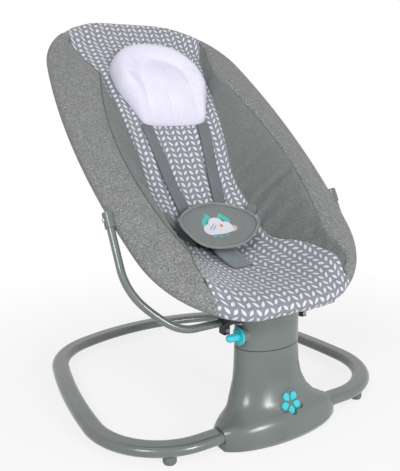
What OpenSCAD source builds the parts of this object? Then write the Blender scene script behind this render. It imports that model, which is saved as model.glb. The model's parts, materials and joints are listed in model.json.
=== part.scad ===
// Bouncer seat: a reclining fabric seat that sways on a front pedestal over a tube base ring.
// Origin on the floor under the sway axis, +Z up, -Y towards the feet end, millimetres.

/* [Base ring] */
// Width of the ring measured between tube centres
ring_width = 600; // [560:5:640]
// Distance of the front run of the tube ahead of the sway axis
ring_front = 33; // [28:1:36]
// Bend radius of the two front corners
ring_front_r = 137; // [125:1:150]
// Bend radius of the bowed sides
ring_side_r = 1293; // [1200:10:1400]
// Bend radius of the rear corners
ring_rear_r = 150; // [135:1:165]
// Width of the flat-oval ring tube
ring_tube_w = 36; // [32:0.5:38]
// Height of the flat-oval ring tube
ring_tube_h = 20; // [18:0.5:22]
// Wall of the ring tube
ring_wall = 1.5; // [1.2:0.1:2]
// Height of the tube's underside above the floor
ring_clear = 16; // [15:0.5:18]
// Diameter of a rubber foot
foot_d = 24; // [20:1:28]

/* [Pedestal] */
// Height of the fixed pedestal, up to the swivel gap
ped_h = 162; // [158:1:170]
// Half width of the pedestal neck
neck_a = 65; // [63:0.5:68]
// Half depth of the pedestal neck
neck_b = 44; // [42:0.5:47]
// Half width of the base skirt before its ends are cut
skirt_a = 137; // [135:1:142]
// Depth of the base skirt ahead of its middle line
skirt_front = 54; // [52:1:57]
// Depth of the base skirt behind its middle line
skirt_back = 84; // [80:1:88]
// How far the skirt's middle line stands ahead of the sway axis
skirt_fwd = 32; // [31:0.5:34]
// Height of the skirt at its ends
skirt_h = 40; // [39:1:44]
// Extra height of the skirt at its front
skirt_rise = 8; // [5:1:10]
// Half length between the flat ends the tube enters
ped_end = 124; // [120:1:128]
// Wall of the mouldings
ped_wall = 3; // [2.5:0.1:3.5]
// Thickness of the bottom plate
plate_t = 4; // [3.5:0.5:5]
// Height of the rubber pads under the plate
pad_h = 3; // [2.5:0.5:4]
// Clearance between the cover and the plate inside it
plate_gap = 0.5; // [0.3:0.1:1]

/* [Controls] */
// Distance of the button cluster to the right of the middle
panel_x = 10; // [6:1:14]
// Height of the button cluster
panel_z = 65; // [62:1:70]
// Backward lean of the button panel
panel_lean = 21; // [18:1:24]
// Radius of the shallow dish round the buttons
dish_r = 26; // [25:0.5:27]
// Radius from the cluster's middle to each button
petal_ring = 14; // [13:0.5:15]
// Radius of a button's round end
petal_r = 7; // [6.5:0.1:7.2]
// Gap round each button
petal_gap = 0.45; // [0.3:0.05:0.6]
// Travel of a button
petal_travel = 1.2; // [0.8:0.1:1.5]
// Direction of the first button from the middle
petal_start = 50; // [44:1:56]

/* [Sway drive] */
// Gear module
gear_m = 1; // [1:0.05:1.1]
// Teeth on the full circle of the sway sector
sector_teeth = 75; // [70:1:76]
// Teeth on the drive pinion
pinion_teeth = 15; // [14:1:16]
// Half angle of the toothed sector
sector_half = 26; // [22:1:30]
// Face width of the gears
gear_w = 8; // [6:0.5:10]
// Height of the gears' underside
gear_z = 124; // [118:1:128]
// Backlash between the teeth
backlash = 0.2; // [0.12:0.02:0.24]
// Diameter of the sway spindle
spindle_d = 14; // [12:0.5:16]
// Radial running clearance of shafts
run_gap = 0.05; // [0.03:0.01:0.08]
// Wall of a bearing bush
bush_wall = 3; // [2.5:0.5:4]
// Gearmotor body diameter
motor_d = 28; // [26:1:30]

/* [Head] */
// Gap between pedestal and head
head_gap = 1.5; // [1:0.1:2]
// Height of the head above the gap
head_h = 71; // [68:1:73]
// Wall of the head moulding
head_wall = 3; // [2.5:0.1:3.5]
// Recline axis: distance behind the sway axis
pivot_y = 10; // [9:0.5:11]
// Recline axis: height above the floor
pivot_z = 213; // [211:0.5:215]
// Recline knob: distance ahead of the sway axis
knob_y = 12; // [11:0.5:13]
// Recline knob: height above the floor
knob_z = 190; // [189:0.5:192]
// Diameter of the recline knob's flange
knob_d = 32; // [28:1:34]
// Diameter of the knob's grip
knob_grip_d = 14.5; // [12:0.5:16]
// Length of the knob's grip
knob_grip = 25; // [22:1:30]
// Diameter of the locking plunger
plunger_d = 5; // [4:0.5:5.5]
// How far the knob pulls out
knob_pull = 8; // [6:0.5:9]
// Recline travel of the seat in degrees
recline_span = 20; // [16:1:22]
// Number of recline stops
recline_stops = 3; // [2:1:3]

/* [Support tube] */
// Outside diameter of the support tube
arm_d = 14; // [13:0.5:15]
// Wall of the support tube
arm_wall = 1.5; // [1.2:0.1:2]
// Distance of each upright leg outside the hoop's widest half
arm_out = 7; // [6:0.5:9]
// Lean of the upright legs above horizontal
arm_lean = 61.3; // [60:0.5:63]
// Length of the straight legs
arm_leg = 95; // [92:1:98]

/* [Seat frame] */
// Tilt of the hoop's plane above horizontal
seat_tilt = 39.5; // [38:0.5:41]
// Half width of the hoop between tube centres
hoop_half_w = 248; // [244:1:252]
// Half length of the hoop between tube centres
hoop_half_l = 394; // [389:1:399]
// Bend radius of the hoop's corners
hoop_corner_r = 175; // [168:1:182]
// Turn of each corner bend
hoop_corner_a = 80; // [79:0.5:81]
// Diameter of the hoop tube
hoop_d = 16; // [15:0.5:18]
// Wall of the hoop tube
hoop_wall = 1.5; // [1.2:0.1:2]
// Length of a side socket along the hoop
socket_l = 34; // [30:1:40]
// Wall of the side socket
socket_wall = 2.5; // [2:0.1:3]

/* [Soft goods] */
// Thickness of the quilted insert
insert_t = 12; // [10:1:14]
// Thickness of the fabric sling
sling_t = 3; // [2.5:0.5:4]
// Half width of the crest between the side wings
crest_half = 186; // [180:1:190]
// Height of the wing crest over the hoop's plane
crest_n = 20; // [16:1:24]
// Half width of the insert at its narrowest
insert_half = 108; // [104:1:112]
// Half width of the insert at its front edge
insert_front = 148; // [144:1:150]
// Depth of the seat pan's front below the hoop's plane
pan_slope = 0.82; // [0.78:0.01:0.86]
// Slope of the back rest against the hoop's plane
back_slope = 0.35; // [0.33:0.01:0.37]
// Width of the waist webbing
web_w = 22; // [20:1:25]
// Width of the shoulder webbing
shoulder_w = 27; // [24:1:30]
// Thickness of the harness webbing
web_t = 2; // [1.5:0.1:2.5]
// Half width of the head pillow
pillow_half = 110; // [104:1:114]
// Length of the head pillow
pillow_l = 215; // [205:1:220]
// Half width of the oval buckle cover
cover_half_w = 88; // [84:1:92]
// Half height of the oval buckle cover
cover_half_l = 56; // [52:1:60]
// Thickness of the oval buckle cover
cover_t = 12; // [10:1:14]

/* [Hidden] */
$fn = 48;
eps = 0.01;

// Shell colours
grey = [0.46, 0.49, 0.48];
dark = [0.12, 0.12, 0.13];
steel = [0.70, 0.71, 0.72];
teal = [0.27, 0.84, 0.86];
heather = [0.55, 0.55, 0.55];
lavender = [0.60, 0.60, 0.66];

// ---- shared forms -------------------------------------------------------------------------

// Solid through a stack of closed rings with equal point counts
module loft(rings) {
    n = len(rings[0]);
    m = len(rings);
    sides = [for (i = [0:m - 2], j = [0:n - 1])
        let (k = (j + 1) % n)
        each [[i * n + j, i * n + k, (i + 1) * n + k], [i * n + j, (i + 1) * n + k, (i + 1) * n + j]]];
    bottom = [for (j = [n - 1:-1:0]) j];
    top = [for (j = [0:n - 1]) (m - 1) * n + j];
    polyhedron(points = [for (r = rings) each r], faces = [for (f = concat(sides, [bottom, top])) reverse(f)]);
}

// The same for rings stacked along Y, each listed anticlockwise with X to the right and Z up
module loft_y(rings) {
    loft([for (r = rings) reverse(r)]);
}

function reverse(v) = [for (i = [len(v) - 1:-1:0]) v[i]];

// Bar bent in the XY plane: each step is [straight, bend radius, bend angle].
// The first child is the section; the second, a hair larger, is a weld bead at every joint.
module bent(steps, i = 0) {
    if (i < len(steps)) {
        run = steps[i][0];
        r = steps[i][1];
        a = steps[i][2];
        if (run > 0) rotate([90, 0, 90]) linear_extrude(run) children(0);
        translate([run, 0, 0]) {
            if (run > 0 && a > 0) bead() children(1);
            if (a > 0) translate([0, r, 0]) rotate(-90) rotate_extrude(angle = a) translate([r, 0]) children(0);
            translate([0, r, 0]) rotate(a) translate([0, -r, 0]) {
                if (a > 0) bead() children(1);
                bent(steps, i + 1) {
                    children(0);
                    children(1);
                }
            }
        }
    }
}

module bead() {
    rotate([90, 0, 90]) linear_extrude(1.2, center = true) children();
}

// Half of a round tube, from the middle plane outwards
module bent_round(steps, d) {
    bent(steps) {
        circle(d = d);
        circle(d = d + 0.2);
    }
}

// Flat oval with round ends
module oval(w, h) {
    square([w - h, h], center = true);
    for (s = [-1, 1]) translate([s * (w - h) / 2, 0]) circle(d = h);
}

module mirrored_x() {
    children();
    mirror([1, 0, 0]) children();
}

// Pan-head screw with its seat at the origin, shank along -Z
module pan_screw(d, length) {
    translate([0, 0, -length]) cylinder(d = d, h = length);
    difference() {
        cylinder(d = 2 * d, h = 0.6 * d);
        for (a = [0, 90]) rotate(a) translate([0, 0, 0.45 * d]) cube([1.3 * d, 0.3 * d, 0.4 * d], center = true);
    }
}

// ---- base ring ----------------------------------------------------------------------------

ring_z = ring_clear + ring_tube_h / 2;
// Headings of the tube after the front, side and rear bends
ring_h1 = 92;
ring_h2 = ring_h1 + 12;
ring_h3 = ring_h2 + 55;
ring_straight = ring_width / 2 - ring_front_r;
// Bow of the rear run that closes the ring on the middle plane
ring_back_r = (ring_straight + ring_front_r * sin(ring_h1) + ring_side_r * (sin(ring_h2) - sin(ring_h1))
    + ring_rear_r * (sin(ring_h3) - sin(ring_h2))) / sin(ring_h3);
// Where the tube ends inside the pedestal
ring_start = ped_end - 36;
ring_bolt_x = ring_start + 14;
ring_bolt_d = 5;

ring_steps = [
    [ring_straight - ring_start, ring_front_r, ring_h1],
    [0, ring_side_r, ring_h2 - ring_h1],
    [0, ring_rear_r, ring_h3 - ring_h2],
    [0, ring_back_r, 180 - ring_h3]
];

module ring_bar(w, h) {
    mirrored_x() translate([ring_start, -ring_front, ring_z]) bent(ring_steps) {
        oval(w, h);
        oval(w + 0.1, h + 0.1);
    }
}

module base_ring() {
    color(grey) difference() {
        ring_bar(ring_tube_w, ring_tube_h);
        ring_bar(ring_tube_w - 2 * ring_wall, ring_tube_h - 2 * ring_wall);
        mirrored_x() translate([ring_bolt_x, -ring_front, 0]) cylinder(d = ring_bolt_d + 0.4, h = 60);
    }
}

// Feet clip under the tube: two at the front corners and two at the rear
foot_front_a = 23;
foot_front = [ring_straight + ring_front_r * sin(foot_front_a), -ring_front + ring_front_r * (1 - cos(foot_front_a))];
// Rear foot: where the rear corner bend begins
rear_c = [ring_straight + ring_front_r * sin(ring_h1) + ring_side_r * (sin(ring_h2) - sin(ring_h1)) - ring_rear_r * sin(ring_h2),
    -ring_front + ring_front_r * (1 - cos(ring_h1)) + ring_side_r * (cos(ring_h1) - cos(ring_h2)) + ring_rear_r * cos(ring_h2)];
rear_h = ring_h2 + 0.06 * (ring_h3 - ring_h2);
foot_rear = [rear_c[0] + ring_rear_r * sin(rear_h), rear_c[1] - ring_rear_r * cos(rear_h)];

module ring_feet() {
    color(dark) mirrored_x() for (p = [foot_front, foot_rear]) translate([p[0], p[1], 0]) {
        cylinder(d1 = foot_d - 3, d2 = foot_d, h = 3);
        translate([0, 0, 3]) cylinder(d = foot_d, h = ring_clear - 3 - 0.1);
    }
}

// ---- pedestal -----------------------------------------------------------------------------

// Closed oval ring: half width a, depth f ahead of y and b behind it, height z.
// Its front is raised by rise, and k above 1 draws the rear in towards the ends.
function ped_ring(a, f, b, y, z, rise, k) = [for (i = [0:39])
    let (t = i * 9, v = sin(t))
    [a * cos(t), y + (v < 0 ? f * v : b * pow(v, k)), z + rise * pow(max(0, -v), 1.5)]];

// Body of the pedestal drawn in by t on every side
module ped_body(t) {
    low = t > 0 ? -1 : 0;
    y = -skirt_fwd;
    f = skirt_front - t;
    b = skirt_back - t;
    loft([
        ped_ring(skirt_a - 5 - t, f - 5, b - 5, y, pad_h + low, 0, 1.6),
        ped_ring(skirt_a - t, f, b, y, pad_h + 8, 0, 1.6),
        ped_ring(skirt_a - t, f - 1, b - 1, y, pad_h + 21, 0, 1.6),
        ped_ring(skirt_a - 4 - t, f - 4, b - 4, y, skirt_h - 7, skirt_rise / 2, 1.6),
        ped_ring(skirt_a - 10 - t, f - 8, b - 7, y, skirt_h - t, skirt_rise, 1.6),
        ped_ring(skirt_a - 21 - t, f - 13, b - 12, y + 1, skirt_h + 5 - t, skirt_rise, 1.4),
        ped_ring(neck_a + 31 - t, neck_b - t, neck_b + 19 - t, y + 10, skirt_h + 15 - t, skirt_rise / 2, 1.2),
        ped_ring(neck_a + 16 - t, neck_b + 4 - t, neck_b + 13 - t, y / 2.6, skirt_h + 33 - t, 0, 1),
        ped_ring(neck_a + 6 - t, neck_b + 4 - t, neck_b + 4 - t, y / 6.7, ped_h / 2 + 16, 0, 1),
        ped_ring(neck_a + 2 - t, neck_b + 1.5 - t, neck_b + 1.5 - t, y / 17, ped_h / 2 + 40, 0, 1),
        ped_ring(neck_a - t, neck_b - t, neck_b - t, 0, ped_h - low * 2, 0, 1)
    ]);
}

// Button panel frame: origin in the middle of the dish, +Z out of the face
panel_y = -(neck_b + 19.5);
module on_panel() {
    translate([panel_x, panel_y, panel_z]) rotate([90 - panel_lean, 0, 0]) children();
}

dish_depth = 3.2;

// Petal outline, pointing at the cluster's middle, grown by g
module petal(g) {
    hull() {
        translate([petal_ring, 0]) circle(r = petal_r + g, $fn = 32);
        translate([petal_ring - petal_r * 0.8, 0]) circle(r = petal_r * 0.5 + g, $fn = 32);
    }
}

petal_step = 72;

module pedestal_cover() {
    color(grey) difference() {
        union() {
            difference() {
                intersection() {
                    ped_body(0);
                    translate([-ped_end, -200, 0]) cube([2 * ped_end, 400, ped_h + 10]);
                }
                intersection() {
                    ped_body(ped_wall);
                    translate([-ped_end + ped_wall, -200, -5]) cube([2 * (ped_end - ped_wall), 400, ped_h + 20]);
                }
            }
            // Screw posts
            intersection() {
                ped_body(1);
                for (p = plate_screw_at) translate([p[0], p[1], plate_top + 0.2]) cylinder(d = 9, h = 60);
            }
            // Pins that carry the control board
            for (s = [-1, 1]) on_panel() translate([s * board_pin_x, 0, 0]) {
                translate([0, 0, board_top]) cylinder(d = 5, h = -board_top - 4);
                translate([0, 0, board_top - board_t - 1]) cylinder(d = 2.5, h = 4);
            }
            // Thicker patch behind the dish
            intersection() {
                ped_body(0);
                on_panel() translate([0, 0, -8]) cylinder(r = dish_r + 4, h = 20);
            }
        }
        for (p = plate_screw_at) translate([p[0], p[1], 0]) cylinder(d = screw_d, h = pad_h + 14);
        // Shallow dish and its five button holes
        intersection() {
            on_panel() translate([0, 0, -dish_depth]) cylinder(r = dish_r, h = 20);
            on_panel() translate([-60, -14, -20]) cube([120, 80, 60]);
        }
        for (i = [0:4]) on_panel() rotate(petal_start + i * petal_step) translate([0, 0, -20])
            linear_extrude(60) petal(petal_gap);
        // Holes the ring tube enters by
        for (s = [-1, 1]) translate([s * ped_end, -ring_front, ring_z]) rotate([90, 0, 90])
            linear_extrude(20, center = true) oval(ring_tube_w + 1.6, ring_tube_h + 1.6);
        // Inlet hole at the back
        translate([inlet_x, 0, inlet_z]) rotate([-90, 0, 0]) cylinder(d = inlet_d + 0.4, h = 80);
        // Sound slots at the back
        for (i = [-3:3]) translate([i * 5, 20, speaker_z]) cube([2, 60, 22], center = true);
    }
}

// Plan outline of the bottom plate
module plate_outline(g) {
    intersection() {
        polygon([for (q = ped_ring(skirt_a - 5 - g, skirt_front - 5 - g, skirt_back - 5 - g, -skirt_fwd, 0, 0, 1.6))
            [q[0], q[1]]]);
        square([2 * (ped_end - g), 300], center = true);
    }
}

plate_top = pad_h + plate_t;
plate_in = ped_wall + plate_gap;
cradle_gap = 0.2;
plate_screw_at = [[-64, -58], [64, -58], [-72, 12], [72, 12]];
chassis_screw_at = [[-38, -30], [38, -30], [-38, 30], [38, 30]];

module base_plate() {
    color(dark) difference() {
        union() {
            translate([0, 0, pad_h]) linear_extrude(plate_t) plate_outline(plate_in);
            // Cradles under the tube ends
            for (s = [-1, 1]) translate([s * (ring_bolt_x + 2), -ring_front, plate_top])
                translate([0, 0, (ring_clear - plate_top) / 2]) cube([26, ring_tube_w, ring_clear - plate_top], center = true);
            // Stiffening ribs
            for (y = [-62, -42]) translate([0, y - 1, plate_top + 3]) cube([96, 2, 6], center = true);
        }
        for (p = plate_screw_at) translate([p[0], p[1], 0]) cylinder(d = 4.4, h = 30);
        for (p = chassis_screw_at) translate([p[0], p[1], 0]) cylinder(d = 4.4, h = 30);
        for (s = [-1, 1]) translate([s * ring_bolt_x, -ring_front, 0]) cylinder(d = ring_bolt_d + 0.4, h = 30);
    }
}

// Rubber pads the pedestal stands on
pad_at = [[-92, -34], [92, -34], [-54, 20], [54, 20], [0, -70], [0, 0]];

module plate_pads() {
    color(dark) for (p = pad_at) translate([p[0], p[1], 0]) cylinder(d = 12, h = pad_h);
}

screw_d = 4;

// Screws up through the plate into the cover's posts
module plate_screws() {
    color(steel) for (p = plate_screw_at) translate([p[0], p[1], pad_h]) mirror([0, 0, 1]) pan_screw(screw_d, 14);
}

module chassis_screws() {
    color(steel) for (p = chassis_screw_at) translate([p[0], p[1], foot_top]) pan_screw(screw_d, chassis_foot_t + plate_t);
}

module ring_bolts() {
    color(steel) mirrored_x() translate([ring_bolt_x, -ring_front, ring_z + ring_tube_h / 2])
        pan_screw(ring_bolt_d, ring_z + ring_tube_h / 2 - pad_h - 1);
}

// ---- controls -----------------------------------------------------------------------------

patch_back = 8;
flange_t = 2;
flange_top = -patch_back - 0.2;
cap_top = 2 - dish_depth;
stem_top = flange_top - flange_t - petal_travel - 0.1;
switch_h = 3.5;
board_top = stem_top - 1.5 - switch_h;
board_t = 1.6;
board_pin_x = dish_r + 1.2;

module petal_button(i) {
    color(teal) on_panel() rotate(petal_start + i * petal_step) {
        translate([0, 0, flange_top - flange_t]) linear_extrude(flange_t) petal(1.1);
        translate([0, 0, flange_top - eps]) linear_extrude(cap_top - flange_top - 1 + eps) petal(0);
        translate([0, 0, cap_top - 1 - eps]) linear_extrude(1 + eps) petal(-0.6);
    }
}

module power_button() { petal_button(1); }
module speed_button() { petal_button(0); }
module timer_button() { petal_button(4); }
module melody_button() { petal_button(2); }
module volume_button() { petal_button(3); }

module tact_switches() {
    color(dark) for (i = [0:4]) on_panel() rotate(petal_start + i * petal_step) translate([petal_ring, 0, 0]) {
        translate([-3, -3, board_top]) cube([6, 6, switch_h]);
        translate([0, 0, board_top + switch_h - eps]) cylinder(d = 3, h = 1.5 + eps);
    }
}

module control_board() {
    color([0.15, 0.4, 0.25]) on_panel() difference() {
        translate([-31, -22, board_top - board_t]) cube([62, 44, board_t]);
        for (s = [-1, 1]) translate([s * board_pin_x, 0, board_top - 5]) cylinder(d = 2.6, h = 10);
    }
}

// ---- power and sound ----------------------------------------------------------------------

inlet_x = 34;
inlet_z = 22;
inlet_d = 8;
inlet_bore = 5.5;
// Outer face of the skirt at the inlet
inlet_y = -skirt_fwd + (skirt_back - 1) * pow(1 - pow(inlet_x / skirt_a, 2), 0.8);

module dc_inlet() {
    color(dark) translate([inlet_x, inlet_y, inlet_z]) rotate([-90, 0, 0]) {
        difference() {
            union() {
                translate([0, 0, 1.6]) cylinder(d = inlet_d + 4, h = 1.4);
                translate([0, 0, -14]) cylinder(d = inlet_d, h = 16);
            }
            translate([0, 0, -10]) cylinder(d = inlet_bore, h = 20);
        }
        translate([0, 0, -10.5]) cylinder(d = 2, h = 9);
    }
}

speaker_z = 92;
speaker_d = 36;

module speaker() {
    color(dark) translate([0, wall_y + chassis_wall + 0.1, speaker_z]) rotate([-90, 0, 0]) {
        cylinder(d = speaker_d * 0.55, h = 5);
        translate([0, 0, 5 - eps]) cylinder(d1 = speaker_d * 0.6, d2 = speaker_d, h = 4);
        translate([0, 0, 9 - 2 * eps]) cylinder(d = speaker_d, h = 2);
    }
}

// ---- chassis and sway drive ---------------------------------------------------------------

centre = gear_m * (sector_teeth + pinion_teeth) / 2;
chassis_foot_t = 3;
foot_top = plate_top + chassis_foot_t;
chassis_wall = 4;
wall_y = motor_d / 2 + 6.5;
low_deck = 44;
deck_t = 6;
mid_t = 4;
mid_deck = gear_z - 2 - mid_t;
top_deck = gear_z + gear_w + 10;
bush_d = spindle_d + 2 * run_gap + 2 * bush_wall;
bush_flange = 2;
pinion_shaft = 4;
motor_screw_r = 10;
gearbox_h = 18;
motor_h = 28;

module chassis() {
    color(dark) difference() {
        union() {
            translate([-48, -34.5, plate_top]) cube([96, 69, chassis_foot_t]);
            // Side walls taper towards the top
            for (s = [-1, 1]) translate([0, s > 0 ? wall_y + chassis_wall : -wall_y, 0]) rotate([90, 0, 0])
                linear_extrude(chassis_wall) difference() {
                    polygon([[-44, plate_top], [48, plate_top], [48, 90], [centre + 4, top_deck + deck_t],
                        [-26, top_deck + deck_t], [-40, 70]]);
                    // Lightening windows
                    translate([-16, 70]) square([32, 36]);
                    translate([-20, 17]) square([40, 18]);
                    // Slot the sector swings through
                    translate([8, gear_z - 3]) square([centre - 12, gear_w + 6]);
                }
            deck(low_deck, deck_t, -36, 30);
            deck(mid_deck, mid_t, -28, centre + 4);
            deck(top_deck, deck_t, -26, centre + 4);
            translate([centre, 0, mid_deck]) cylinder(d = motor_d, h = mid_t);
        }
        translate([0, 0, low_deck - 1]) cylinder(d = bush_d, h = deck_t + 2);
        translate([0, 0, mid_deck - 1]) cylinder(d = spindle_d + 6, h = mid_t + 2);
        translate([0, 0, top_deck - 1]) cylinder(d = bush_d, h = deck_t + 2);
        translate([centre, 0, mid_deck - 1]) cylinder(d = 9, h = mid_t + 2);
        translate([centre, 0, top_deck - 1]) cylinder(d = pinion_shaft + 2 * run_gap, h = deck_t + 2);
        for (s = [-1, 1]) translate([centre, s * motor_screw_r, mid_deck - 1]) cylinder(d = 3.2, h = mid_t + 2);
        for (p = chassis_screw_at) translate([p[0], p[1], plate_top - 1]) cylinder(d = 4.4, h = 10);
    }
}

// Deck between the chassis walls from x0 to x1
module deck(z, t, x0, x1) {
    translate([x0, -wall_y - eps, z]) cube([x1 - x0, 2 * wall_y + 2 * eps, t]);
}

// Flanged bush with its flange on the +Z side
module bush(length) {
    difference() {
        union() {
            cylinder(d = bush_d, h = length);
            translate([0, 0, length - eps]) cylinder(d = bush_d + 6, h = bush_flange + eps);
        }
        translate([0, 0, -1]) cylinder(d = spindle_d + 2 * run_gap, h = length + bush_flange + 2);
    }
}

module upper_bearing() {
    color([0.75, 0.62, 0.35]) translate([0, 0, top_deck]) bush(deck_t);
}

module lower_bearing() {
    color([0.75, 0.62, 0.35]) translate([0, 0, low_deck + deck_t]) mirror([0, 0, 1]) bush(deck_t);
}

module motor_gearbox() {
    color(steel) difference() {
        union() {
            translate([centre, 0, mid_deck - gearbox_h]) cylinder(d = motor_d, h = gearbox_h);
            translate([centre, 0, mid_deck - eps]) cylinder(d = 8.9, h = 3);
        }
        translate([centre, 0, mid_deck - 8]) cylinder(d = pinion_shaft + 2 * run_gap, h = 20);
        for (s = [-1, 1]) translate([centre, s * motor_screw_r, mid_deck - 8]) cylinder(d = 3, h = 9);
    }
}

module gearbox_screws() {
    color(steel) for (s = [-1, 1]) translate([centre, s * motor_screw_r, mid_deck + mid_t]) {
        translate([0, 0, -mid_t - 6]) cylinder(d = 3, h = mid_t + 6);
        difference() {
            cylinder(d = 5.5, h = 1.6);
            translate([-3, -0.4, 0.9]) cube([6, 0.8, 2]);
        }
    }
}

module swing_motor() {
    color(steel) translate([centre, 0, mid_deck - gearbox_h - motor_h]) {
        cylinder(d = motor_d - 4, h = motor_h);
        translate([0, 0, -3]) cylinder(d = 9, h = 3 + eps);
    }
}

// Involute tooth flank: point at radius r on a base circle rb
function inv_angle(r, rb) = let (a = acos(min(1, rb / r))) tan(a) * 180 / PI - a;

// One tooth outline about +X: pitch radius rp, root rr, tip rt, half angle at the pitch circle
function tooth(rp, rr, rt, half, n = 5) =
    let (rb = rp * cos(20), r0 = max(rb, rr), base = half + inv_angle(rp, rb))
    concat(
        [[rr * cos(-base - 0.2), rr * sin(-base - 0.2)]],
        [for (i = [0:n]) let (r = r0 + (rt - r0) * i / n, a = base - inv_angle(r, rb)) [r * cos(-a), r * sin(-a)]],
        [for (i = [n:-1:0]) let (r = r0 + (rt - r0) * i / n, a = base - inv_angle(r, rb)) [r * cos(a), r * sin(a)]],
        [[rr * cos(base + 0.2), rr * sin(base + 0.2)]]
    );

addendum = 0.9;

function tooth_half(teeth) = 90 / teeth - backlash / 4 / (gear_m * teeth / 2) * 180 / PI;

// Toothed outline of count teeth from angle a0
function gear_outline(teeth, count, a0) =
    let (rp = gear_m * teeth / 2)
    [for (i = [0:count - 1]) let (a = a0 + i * 360 / teeth)
        each [for (p = tooth(rp, rp - 1.25 * gear_m, rp + addendum * gear_m, tooth_half(teeth)))
            [p[0] * cos(a) - p[1] * sin(a), p[0] * sin(a) + p[1] * cos(a)]]];

sector_count = 2 * floor(sector_half * sector_teeth / 360) + 1;
hub_d = spindle_d + 10;

module sector_gear() {
    step = 360 / sector_teeth;
    a0 = -(sector_count - 1) / 2 * step;
    color(steel) difference() {
        union() {
            translate([0, 0, gear_z]) linear_extrude(gear_w) polygon(concat([[0, 0]], gear_outline(sector_teeth, sector_count, a0)));
            translate([0, 0, gear_z]) cylinder(d = hub_d, h = gear_w);
        }
        translate([0, 0, gear_z - 1]) cylinder(d = spindle_d, h = gear_w + 2);
    }
}

// The pinion's tooth space faces the sector's middle tooth
module drive_pinion() {
    color([0.9, 0.88, 0.8]) translate([centre, 0, 0]) {
        translate([0, 0, gear_z]) linear_extrude(gear_w)
            rotate(180 + 180 / pinion_teeth) polygon(gear_outline(pinion_teeth, pinion_teeth, 0));
        translate([0, 0, mid_deck - 7.5]) cylinder(d = pinion_shaft, h = top_deck + deck_t - mid_deck + 7.5);
    }
}

// ---- head ---------------------------------------------------------------------------------

head_z = ped_h + head_gap;
head_top = head_z + head_h;
core_z = top_deck + deck_t + bush_flange + run_gap;
clip_t = 1.6;
spindle_bottom = low_deck - bush_flange - clip_t - 3;
spindle_top = pivot_z - arm_d / 2 - 8;
core_bolt_z = head_z + 16;
core_bolt_d = 5;
core_flange_z = head_z + head_wall;
core_half_x = 30;
core_y0 = -22;
core_y1 = pivot_y + 13;
core_screw_at = [[-26, -16], [26, -16], [-26, 18], [26, 18]];

module spindle() {
    color(steel) difference() {
        translate([0, 0, spindle_bottom]) cylinder(d = spindle_d, h = spindle_top - spindle_bottom);
        translate([0, 0, low_deck - bush_flange - clip_t]) difference() {
            cylinder(d = spindle_d + 2, h = clip_t);
            translate([0, 0, -1]) cylinder(d = spindle_d - 2, h = clip_t + 2);
        }
        translate([0, -50, core_bolt_z]) rotate([-90, 0, 0]) cylinder(d = core_bolt_d, h = 100);
    }
}

// Snap ring under the lower bearing, with a gap to spring it on by
module spindle_clip() {
    color(steel) translate([0, 0, low_deck - bush_flange - clip_t]) difference() {
        cylinder(d = spindle_d + 7, h = clip_t - 0.1);
        translate([0, 0, -1]) cylinder(d = spindle_d - 2, h = clip_t + 2);
        translate([0, -2.5, -1]) cube([spindle_d, 5, clip_t + 2]);
    }
}

// Recline tube seat: everything on the recline axis
module on_pivot() {
    translate([0, pivot_y, pivot_z]) rotate([0, 90, 0]) children();
}

module head_core() {
    color(dark) difference() {
        union() {
            translate([0, 0, core_z]) cylinder(d = 32, h = core_flange_z - core_z + 1);
            translate([0, 0, core_flange_z]) linear_extrude(4) polygon([for (i = [0:39]) [42 * cos(i * 9), 29 * sin(i * 9)]]);
            translate([-core_half_x + 8, core_y0, core_flange_z + 2])
                cube([2 * core_half_x - 16, core_y1 - core_y0, pivot_z - core_flange_z - 3]);
            on_pivot() cylinder(r = 16, h = 2 * core_half_x, center = true);
            // Web up to the tube seat
            translate([-core_half_x + 1, pivot_y - 4, core_flange_z + 2]) cube([2 * core_half_x - 2, 8, pivot_z - core_flange_z - 10]);
        }
        translate([0, 0, core_z - 1]) cylinder(d = spindle_d, h = spindle_top - core_z + 1);
        on_pivot() cylinder(d = arm_d + 2 * run_gap, h = 100, center = true);
        translate([0, -50, core_bolt_z]) rotate([-90, 0, 0]) cylinder(d = core_bolt_d, h = 100);
        for (p = core_screw_at) translate([p[0], p[1], core_flange_z - 1]) cylinder(d = 3.4, h = 8);
    }
}

module core_bolt() {
    color(steel) translate([0, core_y0, core_bolt_z]) rotate([90, 0, 0]) {
        translate([0, 0, -(core_y1 - core_y0) - 2]) cylinder(d = core_bolt_d, h = core_y1 - core_y0 + 2);
        cylinder(d = 9, h = 3, $fn = 6);
    }
}

module core_screws() {
    color(steel) for (p = core_screw_at) translate([p[0], p[1], core_flange_z + 4]) pan_screw(3, 4 + head_wall);
}

module head_oval(g) {
    polygon([for (i = [0:59]) [(neck_a + g) * cos(i * 6), (neck_b + g) * sin(i * 6)]]);
}

module head_shell() {
    color(grey) difference() {
        translate([0, 0, head_z]) linear_extrude(head_h) head_oval(0);
        translate([0, 0, head_z + head_wall]) linear_extrude(head_h) head_oval(-head_wall);
        translate([0, 0, head_z - 1]) cylinder(d = 34, h = head_wall + 2);
        for (p = core_screw_at) translate([p[0], p[1], head_z - 1]) cylinder(d = 3, h = 10);
        on_pivot() cylinder(d = arm_d + 1.6, h = 200, center = true);
        translate([-100, -knob_y, knob_z]) rotate([0, 90, 0]) cylinder(d = guide_neck, h = 60);
    }
}

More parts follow.
